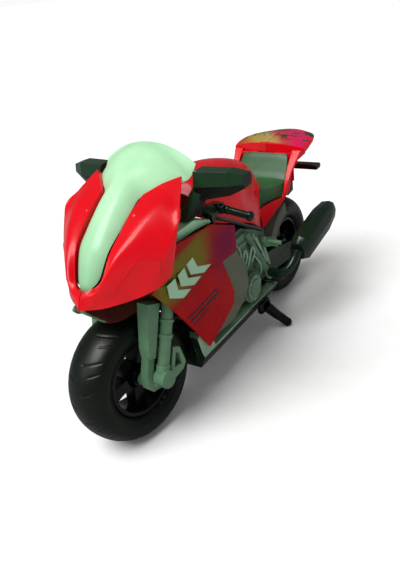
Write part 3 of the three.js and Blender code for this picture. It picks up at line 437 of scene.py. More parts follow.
def refined(node, material, round_edge=0.35, angle=38, paint=None):
    """The CAD node's shape with its flat faces merged and its edges rounded."""
    mesh = frame["nodes"][node].data.copy()
    mesh.materials.clear()
    work = bmesh.new()
    work.from_mesh(mesh)
    bmesh.ops.remove_doubles(work, verts=work.verts, dist=MERGE_GAP)
    bmesh.ops.dissolve_limit(work, angle_limit=radians(FLAT_ANGLE), verts=work.verts, edges=work.edges)
    bmesh.ops.recalc_face_normals(work, faces=work.faces)
    if paint:
        for face in work.faces:
            face.material_index = paint(face)
    work.to_mesh(mesh)
    work.free()
    piece = finish_mesh(f"{node}_finish", mesh, material, SMOOTH_ANGLE)
    if round_edge:
        bevelled(piece, round_edge, 2, angle)
    return placed(piece, node)


def lathe(profile, sides, to_world, name, materials, closed=True):
    """A turned piece about the X axis: profile points (x, radius) in millimetres."""
    points = []
    for i in range(sides):
        angle = 2 * pi * i / sides
        points += [Vector((x, r * sin(angle), r * cos(angle))) for x, r in profile]
    return build(name, points, ring_faces(sides, len(profile), True, closed), materials, to_world)


def tube(name, path, radius, material, sides, steps=None):
    """A round tube with closed ends, on a smooth path in that many steps or straight between its points."""
    line = [Vector(p) for p in path]
    if steps:
        line = catmull(line, steps)
    rings = []
    across = (line[1] - line[0]).normalized().orthogonal()
    for i, p in enumerate(line):
        ahead = (line[min(i + 1, len(line) - 1)] - line[max(i - 1, 0)]).normalized()
        across = (across - ahead * across.dot(ahead)).normalized()
        up = ahead.cross(across)
        rings.append([p + radius * (cos(2 * pi * k / sides) * across + sin(2 * pi * k / sides) * up)
                      for k in range(sides)])
    return lofted(name, rings, material, smooth_angle=50)


def prism(name, outline, low, high, material):
    """A plate with a side view outline of (y, z) points, between two places in x."""
    n = len(outline)
    points = [(x, y, z) for x in (low, high) for y, z in outline]
    faces = [tuple(range(n)), tuple(range(2 * n - 1, n - 1, -1))]
    faces += [(i, (i + 1) % n, n + (i + 1) % n, n + i) for i in range(n)]
    return build(name, points, faces, material)


def reshaped(piece, cuts, new_x):
    """Divides the piece's faces, then moves each vertex in x: new_x(x, y, z) works in millimetres."""
    work = bmesh.new()
    work.from_mesh(piece.data)
    bmesh.ops.triangulate(work, faces=[f for f in work.faces if len(f.verts) > 4])
    bmesh.ops.subdivide_edges(work, edges=work.edges, cuts=cuts)
    for vertex in work.verts:
        x, y, z = vertex.co
        vertex.co.x = new_x(x / MM, (y - SHIFT_Y) / MM, z / MM) * MM
    bmesh.ops.recalc_face_normals(work, faces=work.faces)
    work.to_mesh(piece.data)
    work.free()
    return piece


def merged(name, pieces):
    """Several pieces as one object, with their modifiers applied."""
    graph = bpy.context.evaluated_depsgraph_get()
    graph.update()
    mesh = bpy.data.meshes.new(name)
    work = bmesh.new()
    slots = []
    for piece in pieces:
        part = bpy.data.meshes.new_from_object(piece.evaluated_get(graph))
        part.transform(piece.matrix_world)
        base = len(work.faces)
        work.from_mesh(part)
        work.faces.ensure_lookup_table()
        for face in work.faces[base:]:
            material = part.materials[face.material_index]
            if material not in slots:
                slots.append(material)
            face.material_index = slots.index(material)
        bpy.data.meshes.remove(part)
        bpy.data.objects.remove(piece)
    work.to_mesh(mesh)
    work.free()
    for material in slots:
        mesh.materials.append(material)
    whole = bpy.data.objects.new(name, mesh)
    bpy.context.scene.collection.objects.link(whole)
    return whole


# ---- camera, lights and floor ----
def make_camera():
    """The camera 34.5 degrees to the bike's left of its nose, looking 27 degrees down."""
    azimuth, down, roll = radians(34.49), radians(27.12), -0.121
    distance, across, above = 490.66, 8.5074, 26.0393
    target = Vector((0, 0, 90))
    right = Vector((cos(azimuth), sin(azimuth), 0))
    forward = Vector((-sin(azimuth) * cos(down), cos(azimuth) * cos(down), -sin(down)))
    up = right.cross(forward)
    right, up = cos(roll) * right + sin(roll) * up, -sin(roll) * right + cos(roll) * up
    place = target - forward * distance - right * across - up * above
    data = bpy.data.cameras.new("camera")
    data.sensor_width = 36
    data.lens = 37.2676
    data.clip_start = 0.01
    camera = bpy.data.objects.new("camera", data)
    bpy.context.scene.collection.objects.link(camera)
    axes = Matrix((right, up, -forward)).transposed().to_4x4()
    camera.matrix_world = Matrix.Translation(BIKE @ (place * MM)) @ axes
    bpy.context.scene.camera = camera


def aim_at_bike(light, place):
    light.location = place
    toward_bike = Vector((0, 0, 0.09)) - Vector(place)
    light.rotation_euler = toward_bike.to_track_quat("-Z", "Y").to_euler()
    bpy.context.scene.collection.objects.link(light)


def soft_light(name, place, size, power):
    data = bpy.data.lights.new(name, "AREA")
    data.shape = "RECTANGLE"
    data.size, data.size_y = size
    data.energy = power
    aim_at_bike(bpy.data.objects.new(name, data), place)


def sky_light(name, place, strength, spread):
    """Even light over the whole floor, from one direction, with soft shadows."""
    data = bpy.data.lights.new(name, "SUN")
    data.energy = strength
    data.angle = radians(spread)
    aim_at_bike(bpy.data.objects.new(name, data), place)


def make_world():
    """White where the camera sees it, a low even light everywhere, and darker still in reflections."""
    world = bpy.data.worlds.new("studio")
    world.use_nodes = True
    nodes, links = world.node_tree.nodes, world.node_tree.links
    lighting, in_reflections, in_view = 0.33, 0.13, 0.96
    paths = nodes.new("ShaderNodeLightPath")
    dimmed = math_node(nodes, links, "MULTIPLY", paths.outputs["Is Glossy Ray"], in_reflections - lighting)
    lit = math_node(nodes, links, "ADD", dimmed, lighting)
    seen = math_node(nodes, links, "MULTIPLY", paths.outputs["Is Camera Ray"], in_view - lighting)
    links.new(math_node(nodes, links, "ADD", lit, seen), nodes["Background"].inputs["Strength"])
    nodes["Background"].inputs["Color"].default_value = (1, 1, 1, 1)
    bpy.context.scene.world = world


def make_floor():
    """A wide pale floor that shows darker in reflections."""
    half = 60.0
    corners = [(-half, -half, 0), (half, -half, 0), (half, half, 0), (-half, half, 0)]
    mesh = bpy.data.meshes.new("floor")
    mesh.from_pydata(corners, [], [(0, 1, 2, 3)])
    material, nodes, links, shader = node_tree("floor_white")
    stops = [(0.3, (0.88, 0.89, 0.88)), (0.7, (0.91, 0.92, 0.91))]
    speckle = ramp(nodes, links, noise(nodes, links, 30), stops)
    paths = nodes.new("ShaderNodeLightPath")
    colour = mixed(nodes, links, paths.outputs["Is Glossy Ray"], speckle, (0.25, 0.25, 0.25))
    links.new(colour, shader.inputs["Base Color"])
    shader.inputs["Roughness"].default_value = 0.9
    shader.inputs["Specular IOR Level"].default_value = 0.0
    mesh.materials.append(material)
    floor = bpy.data.objects.new("floor", mesh)
    bpy.context.scene.collection.objects.link(floor)


def make_studio():
    bpy.context.scene.view_settings.view_transform = "Standard"
    make_world()
    make_floor()
    sky_light("overhead", (-0.2, -0.62, 1.15), strength=3.2, spread=40)
    soft_light("front_strip", (-0.55, -0.85, 0.55), size=(0.25, 0.6), power=1.2)


# ---- nose ----
# The cheek runs from the chin up and back. Its rows go from the inner edge to the lower edge.
CHEEK_ROWS = [
    [(0.3, -150, 130), (6, -147, 131.5), (10.7, -141.4, 136), (13.6, -133.5, 150), (15.4, -122, 160.3),
     (16, -108.8, 169.5), (17.1, -96.4, 176.2), (25, -87, 180.5), (34.9, -77.4, 183.5)],
    [(0.3, -152, 126.5), (9, -149, 129), (14.6, -144.5, 137), (20.4, -136, 148), (27, -124, 158),
     (31, -112, 166), (34.5, -101, 172), (38.5, -94, 173.4), (41.8, -91.6, 173.4)],
    [(0.3, -154, 122.8), (9.2, -149, 123.6), (17.4, -143, 128.5), (25.4, -134, 136), (34, -124, 143.5),
     (41.2, -115, 149.8), (44.6, -109.3, 155.4), (46.2, -105.6, 160.4), (46.9, -103.9, 162.9)],
    [(0.3, -155.4, 120), (6.4, -150.2, 119), (13, -146.3, 119.3), (20, -141.2, 120.6), (27, -134.2, 121.8),
     (33, -128.5, 123.5), (38.5, -121, 126), (41, -115, 128.5), (42, -110, 131)],
]
CHEEK_ALONG, CHEEK_ACROSS = 132, 84
CORNER_AT = 6
PANEL_LINE = [Vector(p) for p in ((19.5, -140.8, 131), (28.5, -129.2, 144.8), (31.3, -126.1, 145.5),
                                  (39.5, -118.5, 144.1), (39.5, -119.5, 134))]
PIP = Vector((19.2, -110.9, 168))
LIP_DEPTHS = (5.0, 3.4, 1.7)
SEAM_HALF = 0.3


def cheek_grid():
    """The cheek's surface. Its inner edge is straight on both sides of one corner."""
    lines = [catmull([Vector(p) for p in row], CHEEK_ALONG) for row in CHEEK_ROWS]
    corners = [Vector(p) for p in CHEEK_ROWS[0]]
    for i in range(CHEEK_ALONG + 1):
        place = i * (len(corners) - 1) / CHEEK_ALONG
        if CORNER_AT - 1 <= place <= CORNER_AT + 1:
            k = min(int(place), CORNER_AT)
            lines[0][i] = corners[k].lerp(corners[k + 1], place - k)
    return [catmull([line[i] for line in lines], CHEEK_ACROSS) for i in range(CHEEK_ALONG + 1)]


def grid_normal(grid, i, j):
    """The direction that the grid faces at a point, before any flip."""
    a = grid[min(i + 1, len(grid) - 1)][j] - grid[max(i - 1, 0)][j]
    b = grid[i][min(j + 1, len(grid[0]) - 1)] - grid[i][max(j - 1, 0)]
    return a.cross(b).normalized()


def segment_distance(point, a, b):
    """How far a point is from the straight line between a and b."""
    span = b - a
    share = max(0.0, min(1.0, (point - a).dot(span) / span.length_squared))
    return (point - a - span * share).length


def raise_line(grid, path, height, width):
    """Raises the surface in a narrow ridge along a path of points beside it."""
    outward = 1 if grid_normal(grid, len(grid) // 2, len(grid[0]) // 2).x > 0 else -1
    raised = []
    for i, line in enumerate(grid):
        for j, point in enumerate(line):
            gap = min(segment_distance(point, a, b) for a, b in zip(path, path[1:]))
            if gap < width:
                lift = height * 0.5 * (1 + cos(pi * gap / width))
                raised.append((i, j, grid_normal(grid, i, j) * lift * outward))
    for i, j, offset in raised:
        grid[i][j] = grid[i][j] + offset


def make_cheeks():
    """Two faceted nose panels with a folded-in inner edge and a raised angular line."""
    def make(suffix, side):
        grid = cheek_grid()
        raise_line(grid, PANEL_LINE, height=0.55, width=1.1)
        raise_line(grid, [PIP, PIP + Vector((0.1, 0, 0))], height=0.7, width=1.3)
        sign = 1 if grid_normal(grid, CHEEK_ALONG // 2, CHEEK_ACROSS // 2).x > 0 else -1
        full = []
        for i, line in enumerate(grid):
            inward = -sign * grid_normal(grid, i, 0) + Vector((-0.3, 0, 0))
            lip = [line[0] + depth * inward for depth in LIP_DEPTHS]
            for point in lip:
                point.x = max(point.x, SEAM_HALF)
            full.append(lip + line)
        if side < 0:
            full = mirror_points(full)
        piece = sheet_piece(f"fairing_cheek_{suffix}_shell", full, RED, flip=(sign * side < 0))
        thickened(piece)
        bevelled(piece, 0.45, 3, 35)
        placed(piece, f"fairing_cheek_{suffix}")
    both_sides(make)


# (length, height, half width, the edge's length, the edge's height), from the chin up.
SCREEN_STATIONS = [
    (-145.2, 124, 4.2, -144.8, 123.8),
    (-146, 130.6, 4.6, -145.4, 130.2), (-143.6, 137, 8.8, -140.6, 136), (-135.4, 153, 11.6, -131.8, 150.2),
    (-124, 164.8, 13, -120.4, 159), (-109, 176.6, 14, -107.2, 168), (-94, 186.4, 15.4, -95.4, 174.6),
    (-82, 193.6, 26, -84.5, 178), (-72, 198.2, 34.4, -75, 178.8), (-66, 199.8, 36.2, -68, 180.6),
    (-62, 200.4, 36.8, -62, 187),
]


def make_screen():
    """One opaque moulding: a tongue between the cheeks that widens into an arched screen."""
    half_steps = 20
    grid = []
    for y, z, half, edge_y, edge_z in smoothed(SCREEN_STATIONS, 60):
        line = []
        for j in range(-half_steps, half_steps + 1):
            share = j / half_steps
            fall = abs(share) ** 2.2
            line.append(Vector((share * half, y + (edge_y - y) * fall, z + (edge_z - z) * fall)))
        grid.append(line)
    piece = sheet_piece("windscreen_shell", grid, MINT, flip=grid_normal(grid, 30, 20).z < 0)
    thickened(piece)
    bevelled(piece, 0.5, 3, 35)
    placed(piece, "windscreen")


# ---- tank, seat and tail ----
# (length, height of the top, half width, height of the lower edge), from the front.
TANK_STATIONS = [
    (-40, 157.5, 18, 141), (-31, 165, 23, 133), (-12, 168, 27, 125), (8, 167, 29, 118), (28, 163, 28.2, 109),
    (45, 157.5, 24, 99), (58, 151, 19.4, 96), (68, 144.4, 14.6, 96), (74, 137, 10, 96),
]


def hollow(place, middle, reach):
    """1 at the middle of a dent and 0 beyond its reach."""
    return max(0.0, 1 - ((place - middle) / reach) ** 2)


def make_tank():
    """A rounded shell with a shallow knee hollow on each side, cut off level over the seat's front."""
    half_steps = 36
    seat_front, seat_top = 50.5, 129.2
    knee_depth = 3.4
    grid = []
    for y, top, half, low in smoothed(TANK_STATIONS, 64):
        line = []
        for j in range(-half_steps, half_steps + 1):
            turn = j / half_steps * pi / 2
            x = math.copysign(abs(sin(turn)) ** 0.8, j) * half
            z = low + (top - low) * abs(cos(turn)) ** 0.62
            knee = hollow(y, 34, 26) * hollow(z, 132, 20)
            x -= math.copysign(knee_depth * knee ** 1.5, x)
            if y > seat_front - 1:
                blend = min(1.0, (y - seat_front + 1) / 2)
                z = z + (max(z, seat_top) - z) * blend
            line.append(Vector((x, y, z)))
        grid.append(line)
    piece = sheet_piece("fuel_tank_shell", grid, RED, flip=grid_normal(grid, 20, 36).z < 0)
    thickened(piece)
    bevelled(piece, 0.4, 2, 45)
    placed(piece, "fuel_tank")


# (length, height of the top, half width at the top, height of the base, half width at the base).
SEAT_STATIONS = [
    (51.6, 127.6, 17, 113.4, 17.4), (62, 126.2, 19, 112.6, 18.8), (80, 123.6, 22.2, 111, 21.4),
    (95, 122.6, 23.8, 109.6, 23.4), (101, 126, 24.2, 109.4, 23.6), (106, 133.6, 24, 110, 23.2),
    (110, 140.6, 23, 112, 22.6), (112.8, 143.6, 21.6, 116, 21.2),
]


def make_seat():
    """A flat cushion that bends up into a back rest, with a soft crown and chamfered sides."""
    rings = []
    for y, top, half, low, low_half in smoothed(SEAT_STATIONS, 42):
        ring = [(-low_half, low), (low_half, low), (half + 0.6, top - 4), (half - 0.2, top - 0.8)]
        ring += [(half * share, top + 0.4 * (1 - share ** 2)) for share in (0.85, 0.5, 0, -0.5, -0.85)]
        ring += [(0.2 - half, top - 0.8), (-half - 0.6, top - 4)]
        rings.append([Vector((x, y, z)) for x, z in ring])
    piece = lofted("seat_shell", rings, SEAT_GREEN)
    bevelled(piece, 0.9, 3, 30)
    placed(piece, "seat")


# (length, height of the top, backward sweep, half width, height of the edge, height of the underside).
TAIL_STATIONS = [
    (114.2, 152, 5.6, 35.4, 146.8, 141.6), (124, 153, 6, 36.2, 148.6, 142.8), (138, 153.6, 5, 35, 149.6, 146),
    (152, 153, 4, 30.4, 149.8, 147), (163, 152.2, 2, 24, 149.6, 147.4), (172, 151.2, 0.6, 15, 149.2, 147.4),
    (176.6, 150, 0, 7, 148.8, 147.6),
]
FLANK_OUTLINE = [
    (53, 111), (57.5, 91.5), (74, 99.5), (90, 107.5), (99, 115), (102, 129), (112, 138.5), (123, 141.5),
    (124, 146), (116, 146), (104, 134), (96, 122), (91, 110.6), (70, 111.4),
]


def flank_x(y, share):
    """Distance from the middle of the flank at a length: share is 0 beside the seat and 1 outside."""
    back = y - 53
    inner = min(25.2, 18.4 + 0.19 * back)
    outer = 20.4 + 0.173 * back + 0.067 * max(0.0, back - 31)
    return inner + (outer - inner) * share


def tail_wing(suffix, side):
    """Half of the tail's top: arched in front, printed over its middle."""
    rings = []
    for y, top, sweep, half, edge, low in smoothed(TAIL_STATIONS, 36):
        shares = (0, 0.2, 0.4, 0.6, 0.75, 0.88, 0.96, 1)
        outline = [(share, top - (top - edge) * share ** 2.6) for share in shares]
        outline += [(0.985, (edge + low) / 2), (0.94, low), (0.5, low + 0.3), (0, low + 0.4)]
        rings.append([Vector((side * (0.15 + share * half), y + sweep * share ** 2, z))
                      for share, z in outline])
    wing = lofted(f"tail_wing_{suffix}", rings, [RED, TAIL_GRAPHIC])
    print_half, print_front = 0.034, SHIFT_Y + 0.117
    for face in wing.data.polygons:
        if face.normal.z > 0.6 and abs(face.center.x) < print_half and face.center.y > print_front:
            face.material_index = 1
    return bevelled(wing, 0.7, 3, 32)


def make_tail():
    """Each half of the tail: a wing, a flank that runs forward under the seat, and a plate behind it."""
    def make(suffix, side):
        wing = tail_wing(suffix, side)
        flank = prism(f"tail_flank_{suffix}", FLANK_OUTLINE, 0, 1, RED)
        reshaped(flank, 3, lambda x, y, z: side * flank_x(y, x))
        bevelled(flank, 0.4, 2, 40)
        plate_outline = [(113.2, 118), (115, 118), (115, 144), (113.2, 144)]
        plate = prism(f"tail_plate_{suffix}", plate_outline, side * 8.4, side * 27, RED)
        bevelled(plate, 0.3)
        whole = merged(f"tail_cowl_{suffix}_shell", [wing, flank, plate])
        placed(whole, f"tail_cowl_{suffix}")
    both_sides(make)


# ---- tyres ----
TYRE_SIDES = 560
TREAD_PITCH = 2 * pi / 14
GROOVE_HALF = 0.75
GROOVE_DEPTH = 0.55
# Each groove: side of the tread, start in pitches, and the distances from the middle where it runs.
GROOVES = [(1, 0.0, 2.5, 15), (-1, 0.5, 2.5, 15), (1, 0.6, 9, 16.2), (-1, 0.1, 9, 16.2)]


def tread_point(x, r, angle):
    """A point of the tyre's outside, sunk where a curved groove runs."""
    sunk = 0.0
    for side, start, first, last in GROOVES:
        reach = side * x
        if not first - 1 < reach < last:
            continue
        bend = 0.42 * (reach / 16) ** 2 - 0.1 * reach / 16
        place = (angle / TREAD_PITCH - start - bend) % 1.0
        gap = min(place, 1 - place) * TREAD_PITCH * r
        if gap < GROOVE_HALF:
            end = min(1.0, max(0.0, reach - first + 1), max(0.0, (last - reach) / 1.5))
            sunk = max(sunk, GROOVE_DEPTH * end * (1 - (gap / GROOVE_HALF) ** 2))
    return Vector((x, (r - sunk) * sin(angle), (r - sunk) * cos(angle)))


def make_tyre(node, end, body_frame):
    """A moulded tyre at one end of the wheelbase: grooved tread, rounded shoulders and stepped walls."""
    tread = [(0, TYRE_RADIUS), (3.5, 48.3), (7, 47.7), (10, 46.7), (12.8, 45.2), (15.2, 43.2), (16.8, 40.8),
             (17.6, 37.5)]
    wall = [(17.5, 35.2), (16.9, 33.2), (16.2, 32.4), (16, 31.6), (15.2, 30.6), (13.9, 29.4), (12.4, 28.65)]
    half_curve = catmull([Vector((x, r, 0)) for x, r in tread], 26) + [Vector((x, r, 0)) for x, r in wall]
    section = [(-p.x, p.y) for p in half_curve[::-1]] + [(p.x, p.y) for p in half_curve[1:]]
    angles = [2 * pi * i / TYRE_SIDES for i in range(TYRE_SIDES)]
    points = [tread_point(x, r, angle) for angle in angles for x, r in section]
    faces = ring_faces(TYRE_SIDES, len(section), True)
    centre = Matrix.Translation(Vector((0, end * HALF_WHEELBASE, TYRE_RADIUS)) * MM)
    piece = build(f"{node}_moulding", points, faces, RUBBER, body_frame @ BIKE @ centre, 50)
    placed(piece, node)


# ---- side panels, cowls and graphics ----
def side_width(y, z):
    """Half width of the bodywork's side at a height and length, in millimetres."""
    return 41 - 0.06 * (143 - z) - 0.009 * max(0.0, -100 - y) ** 2


PANEL_OUTLINE = [
    (-124, 122.3), (-112, 134), (-104, 147), (-84.6, 145.5), (-66, 143.7), (-58, 143.6), (-25, 130),
    (-22.5, 109.5), (-44.3, 108.5), (-35.2, 91), (-28, 76), (-29.4, 65.7), (-45, 57.5), (-67.7, 48.6),
]
COWL_OUTLINE = [
    (-53, 50), (-57, 68), (-52, 80), (-58, 104), (-46, 107), (-19.5, 106.5), (-2.6, 84), (0.1, 66),
    (-8.4, 56), (-28, 48.5),
]


GRAPHIC_LIFT = 0.16
GRAPHIC_THICKNESS = 0.3
COWL_INSET = 2.1


def bent_plate(name, outline, offset, thickness, material, side, cuts=3):
    """A plate with a side view outline, bent to the bodywork's side."""
    plate = prism(name, outline, -thickness, 0, material)
    return reshaped(plate, cuts, lambda x, y, z: side * (x + side_width(y, z) + offset))


# The arrow graphic fills a slanted quadrilateral on the panel: (length, height) of its corners.
GRAPHIC_CORNERS = [Vector(p) for p in ((-118.5, 121.5), (-84, 130.5), (-105, 105), (-61, 114.8))]


def slanted(points):
    """Places on the panel from shares: forward to rear, and upper to lower edge of the quadrilateral."""
    a, b, d, c = GRAPHIC_CORNERS
    return [tuple(a + (b - a) * s + (d - a) * t + (a - b + c - d) * s * t) for s, t in points]


def chevron(start, length, arm):
    """A chunky arrow-shaped block that points forward."""
    return [
        (start, 0.5), (start + arm, 0), (start + length + arm, 0), (start + length, 0.5),
        (start + length + arm, 1), (start + arm, 1),
    ]


# Each stripe: its upper corners in front and behind, and its width.
STRIPES = [
    ((-94.5, 88.5), (-55, 92.5), 1.5), ((-91.5, 84.6), (-52, 88.6), 2.0), ((-88, 80), (-66, 82.3), 0.9),
]


def make_panels():
    """Each side: a printed panel, three arrow blocks and three stripes on it, and the cowl behind it."""
    def printed_shape(name, outline, material, side):
        return bent_plate(name, outline, GRAPHIC_LIFT, GRAPHIC_THICKNESS, material, side, cuts=1)

    def make(suffix, side):
        panel = bent_plate(f"side_panel_{suffix}_shell", PANEL_OUTLINE, 0, WALL, PANEL_GRAPHIC, side)
        bevelled(panel, 0.45, 3)
        placed(panel, f"side_panel_{suffix}")
        shapes = []
        for k in range(3):
            outline = slanted(chevron(0.31 * k, 0.22, 0.16))
            shapes.append(printed_shape(f"block_{suffix}_{k}", outline, GRAPHIC_MINT, side))
        for k, ((y0, z0), (y1, z1), width) in enumerate(STRIPES):
            outline = [(y0, z0), (y1, z1), (y1 + 0.5, z1 - width), (y0 + 0.8, z0 - width)]
            shapes.append(printed_shape(f"stripe_{suffix}_{k}", outline, GRAPHIC_DARK, side))
        graphic = merged(f"panel_graphic_{suffix}", shapes)
        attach(graphic, "chassis")
        cowl = bent_plate(f"inner_cowl_{suffix}_shell", COWL_OUTLINE, -COWL_INSET, WALL, OLIVE, side)
        bevelled(cowl, 0.5, 3)
        placed(cowl, f"inner_cowl_{suffix}")
    both_sides(make)


# ---- front mudguard ----
# (length, height of the top, half width, height of the edge), from the front.
GUARD_STATIONS = [
    (-148.5, 116.5, 3.5, 113.4), (-146, 117.2, 9.5, 110.6), (-139, 114.6, 15.5, 104.6),
    (-129.5, 110.6, 17.2, 101.4), (-119, 108.2, 17.6, 101), (-108, 107, 17.6, 100.4),
    (-97, 103.2, 17.4, 97.6), (-89, 99.2, 17, 94.2),
]


def make_mudguard():
    """A beaked shell over the front wheel, sage, with painted shade and a painted red reflection in dark red-brown
    on its top.
    """
    half_steps = 16
    grid = []
    for y, top, half, edge in smoothed(GUARD_STATIONS, 40):
        line = []
        for j in range(-half_steps, half_steps + 1):
            share = math.copysign(abs(j / half_steps) ** 0.7, j)
            line.append(Vector((share * half, y, top - (top - edge) * abs(share) ** 2.4)))
        grid.append(line)
    faces_down = grid_normal(grid, 20, 16).z < 0
    piece = sheet_piece("front_mudguard_shell", grid, [SAGE, GUARD_TOP_SHADE], STEERED @ BIKE, faces_down)
    # Painted shade and reflection: up-facing faces get the dark red-brown that stands for the shadow under the
    # cheeks and their red reflected there.
    for face in piece.data.polygons:
        face.material_index = int(face.normal.z > 0.6)
    thickened(piece)
    bevelled(piece, 0.4, 2, 40)
    placed(piece, "front_mudguard")


# ---- exhaust, bars and grips ----
def make_exhaust():
    """The faceted muffler, and a bend of pipe up to it."""
    # Painted sheen: the muffler's downward faces get the purple-grey that stands for a reflected sheen on the dark
    # green.
    refined("muffler", [DARK_GREEN, GREY_SHADE_AND_SHEEN], 1.1, 25, lambda face: int(face.normal.z < -0.35))
    path = [(34.8, 40, 60), (39, 38.4, 60), (45, 38, 61.4), (51, 41, 65), (53.6, 47, 70.6), (54, 54.6, 75.4)]
    pipe = tube("exhaust_pipe_bend", path, 4, DARK_GREEN, 28, 36)
    placed(pipe, "exhaust_pipe")


BAR_ROOT = (40, -34, 145.4)
BAR_DROOP = 9.5
SWITCH_SIDE = [(-37.2, 142.8), (-37.2, 148), (-35, 149.6), (-31, 148), (-31, 142.8)]
BUTTON_SIDE = [(-36.6, 148.2), (-36.6, 150.6), (-33.4, 150.6), (-33.4, 148.2)]


def grip_profile():
    """(place along the bar, radius): a flange, 12 fine ribs and an end bulb."""
    profile = [(0, 1.9), (0, 3.1), (1, 3.35), (2, 3.1)]
    for k in range(12):
        rib = 2.6 + 1.25 * k
        profile += [(rib, 2.55), (rib + 0.3, 2.8), (rib + 0.7, 2.8), (rib + 1.0, 2.55)]
    return profile + [(17.6, 3.5), (18.6, 3.65), (20, 3.5), (20.8, 3), (21, 1.9)]


def make_grips():
    """Each side: the ribbed grip on the drooping bar, and a switch box beside it."""
    def make(suffix, side):
        profile = [(side * x, r) for x, r in grip_profile()]
        root = Matrix.Translation(Vector((side * BAR_ROOT[0], *BAR_ROOT[1:])) * MM)
        place = BIKE @ root @ Matrix.Rotation(side * radians(BAR_DROOP), 4, "Y")
        grip = lathe(profile, 32, place, f"grip_{suffix}_rubber", DARK_GREEN)
        placed(grip, f"grip_{suffix}")
        switch = prism(f"bar_switch_{suffix}", SWITCH_SIDE, side * 34.2, side * 39, DARK_GREEN)
        bevelled(switch, 0.8, 2)
        button = prism(f"bar_button_{suffix}", BUTTON_SIDE, side * 35.2, side * 37.8, BLACK)
        bevelled(button, 0.5, 2)
        cluster = merged(f"switch_cluster_{suffix}", [switch, button])
        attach(cluster, "chassis")
        refined(f"handlebar_{suffix}", DARK_GREEN, 0.5)
        refined(f"lever_{suffix}", DARK_GREEN, 0.8)
    both_sides(make)


# ---- engine ----
def ring_disc(name, centre, side, steps, material):
    """A stack of round steps on the engine's side: steps are (radius, x) from the inside out."""
    profile = [(steps[0][1] - 2, 0.01)]
    for radius, x in steps:
        profile.append((profile[-1][0] if len(profile) > 1 else x - 2, radius))
        profile.append((x, radius))
    profile.append((steps[-1][1], 0.01))
    place = BIKE @ Matrix.Translation((0, centre[0] * MM, centre[1] * MM))
    disc = lathe([(side * x, r) for x, r in profile], 40, place, name, material, closed=False)
    return bevelled(disc, 0.35, 2, 40)


CLUTCH_PLACE = (12, 58)
CLUTCH_STEPS = [(13.2, 31.2), (11.6, 33.4), (7.2, 34.2)]
HOSE_PATHS = [
    [(30, -4, 80), (33.5, -6, 90), (34, -2, 98), (33, 3, 92), (30, 4, 82)],
    [(29.5, 8, 78), (33.5, 6, 88), (34.4, 10, 96), (33.6, 15, 90), (30, 16, 80)],
    [(29, -10, 108), (33, -8, 100), (33.6, -10, 90), (31, -11, 80)],
    [(29, 22, 102), (33, 24, 92), (33, 30, 84), (29.5, 34, 78)],
    [(28.5, 30, 60), (32.5, 27, 68), (33, 24, 76), (30, 20, 84)],
]
ROD_PATHS = [[(30.4, 24, 99), (31, 40, 70)], [(31, 34, 92), (31.6, 44, 66)]]
BOLT_PLACES = [(-10, 50), (28, 50), (32, 73), (-8, 74), (22, 98)]


def make_engine():
    """Each side: the moulded casting, and on it a clutch cover, hoses, rods and bolts."""
    def mirrored(path, side):
        return [(side * x, y, z) for x, y, z in path]

    def make(suffix, side):
        refined(f"engine_side_{suffix}", ENGINE, 0.5)
        parts = [ring_disc(f"clutch_{suffix}", CLUTCH_PLACE, side, CLUTCH_STEPS, ENGINE)]
        for k in range(6):
            angle = radians(60 * k + 20)
            place = (CLUTCH_PLACE[0] + 9.5 * cos(angle), CLUTCH_PLACE[1] + 9.5 * sin(angle))
            parts.append(ring_disc(f"clutch_bolt_{suffix}_{k}", place, side, [(1.1, 34.1)], HOSE))
        for k, path in enumerate(HOSE_PATHS):
            parts.append(tube(f"hose_{suffix}_{k}", mirrored(path, side), 0.85, HOSE, 12, 28))
        for k, place in enumerate(BOLT_PLACES):
            bolt = ring_disc(f"engine_bolt_{suffix}_{k}", place, side, [(2.2, 28.4), (1.3, 29.6)], HOSE)
            parts.append(bolt)
        for k, path in enumerate(ROD_PATHS):
            parts.append(tube(f"linkage_{suffix}_{k}", mirrored(path, side), 1.4, HOSE, 14))
        detail = merged(f"engine_detail_{suffix}", parts)
        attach(detail, "chassis")
    both_sides(make)


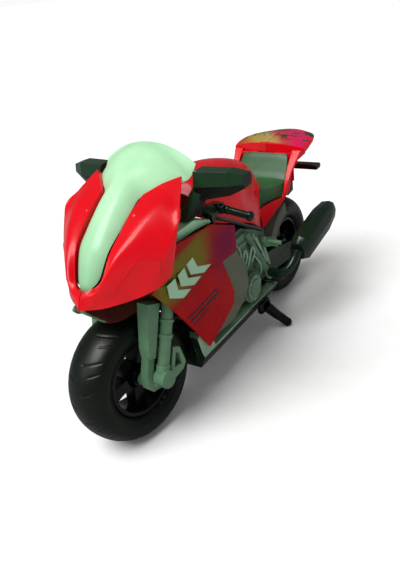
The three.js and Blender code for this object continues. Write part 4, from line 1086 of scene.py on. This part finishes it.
# ---- nodes kept in their CAD shape, with rounded edges ----
def make_rest():
    """The nodes whose CAD shape is already their visible shape."""
    # Painted shade: every mirror face that does not look up is black, standing for its shaded sides and underside.
    def mirror_shade_paint(face):
        return int(face.normal.z < 0.12)

    # Painted light and shade on the belly pan: forward-facing faces get dark green and downward faces the dark
    # purple-grey as painted shade, and the rest a lighter sage as painted light.
    def belly_light_and_shade_paint(face):
        if face.normal.y < -0.5:
            return 1
        return 2 if face.normal.z < -0.2 else 0

    both_sides(lambda suffix, side: refined(f"mirror_{suffix}", [MIRROR_GREEN, BLACK], 0.9, 22, mirror_shade_paint))
    refined("belly_pan", [PAINTED_LIGHT_SAGE, DARK_GREEN, GREY_SHADE_AND_SHEEN], 0.6, 38, belly_light_and_shade_paint)
    for pair in ("fork_leg", "fork_cover", "brake_caliper", "footrest"):
        for suffix in ("left", "right"):
            refined(f"{pair}_{suffix}", SAGE, 0.45)
    both_sides(lambda suffix, side: refined(f"stabiliser_{suffix}", BLACK, 0.4, 45))
    refined("rear_hugger", OLIVE, 0.4)
    refined("cockpit_panel", MINT, 0.6)
    refined("tail_bracket", BLACK, 0.6)
    refined("battery_door", GREY_SHADE_AND_SHEEN, 0.3)
    refined("power_switch", RED, 0.3)
    for node in ("front_rim", "rear_rim"):
        refined(node, BLACK, 0.6)
    for node in ("main_frame", "steering_servo", "rear_arm_left", "gear_case", "gear_case_cover"):
        refined(node, DARK_GREEN, 0.4)
    refined("steering_stem", SAGE, 0.3)
    refined("drive_motor", STEEL, 0.4)
    refined("battery_pack", SLEEVE, 0.5)
    refined("circuit_board", BOARD, 0.15)
    for node in ("servo_pinion", "axle_gear", "idler_gear_rear", "idler_gear_front"):
        refined(node, NYLON, 0.15)
    for node in ("motor_pinion", "front_axle", "rear_axle"):
        refined(node, STEEL, 0.2)


make_camera()
make_studio()
make_cheeks()
make_screen()
make_tank()
make_seat()
make_tail()
make_tyre("front_tyre", -1, STEERED)
make_tyre("rear_tyre", 1, Matrix.Identity(4))
make_panels()
make_mudguard()
make_exhaust()
make_grips()
make_engine()
make_rest()
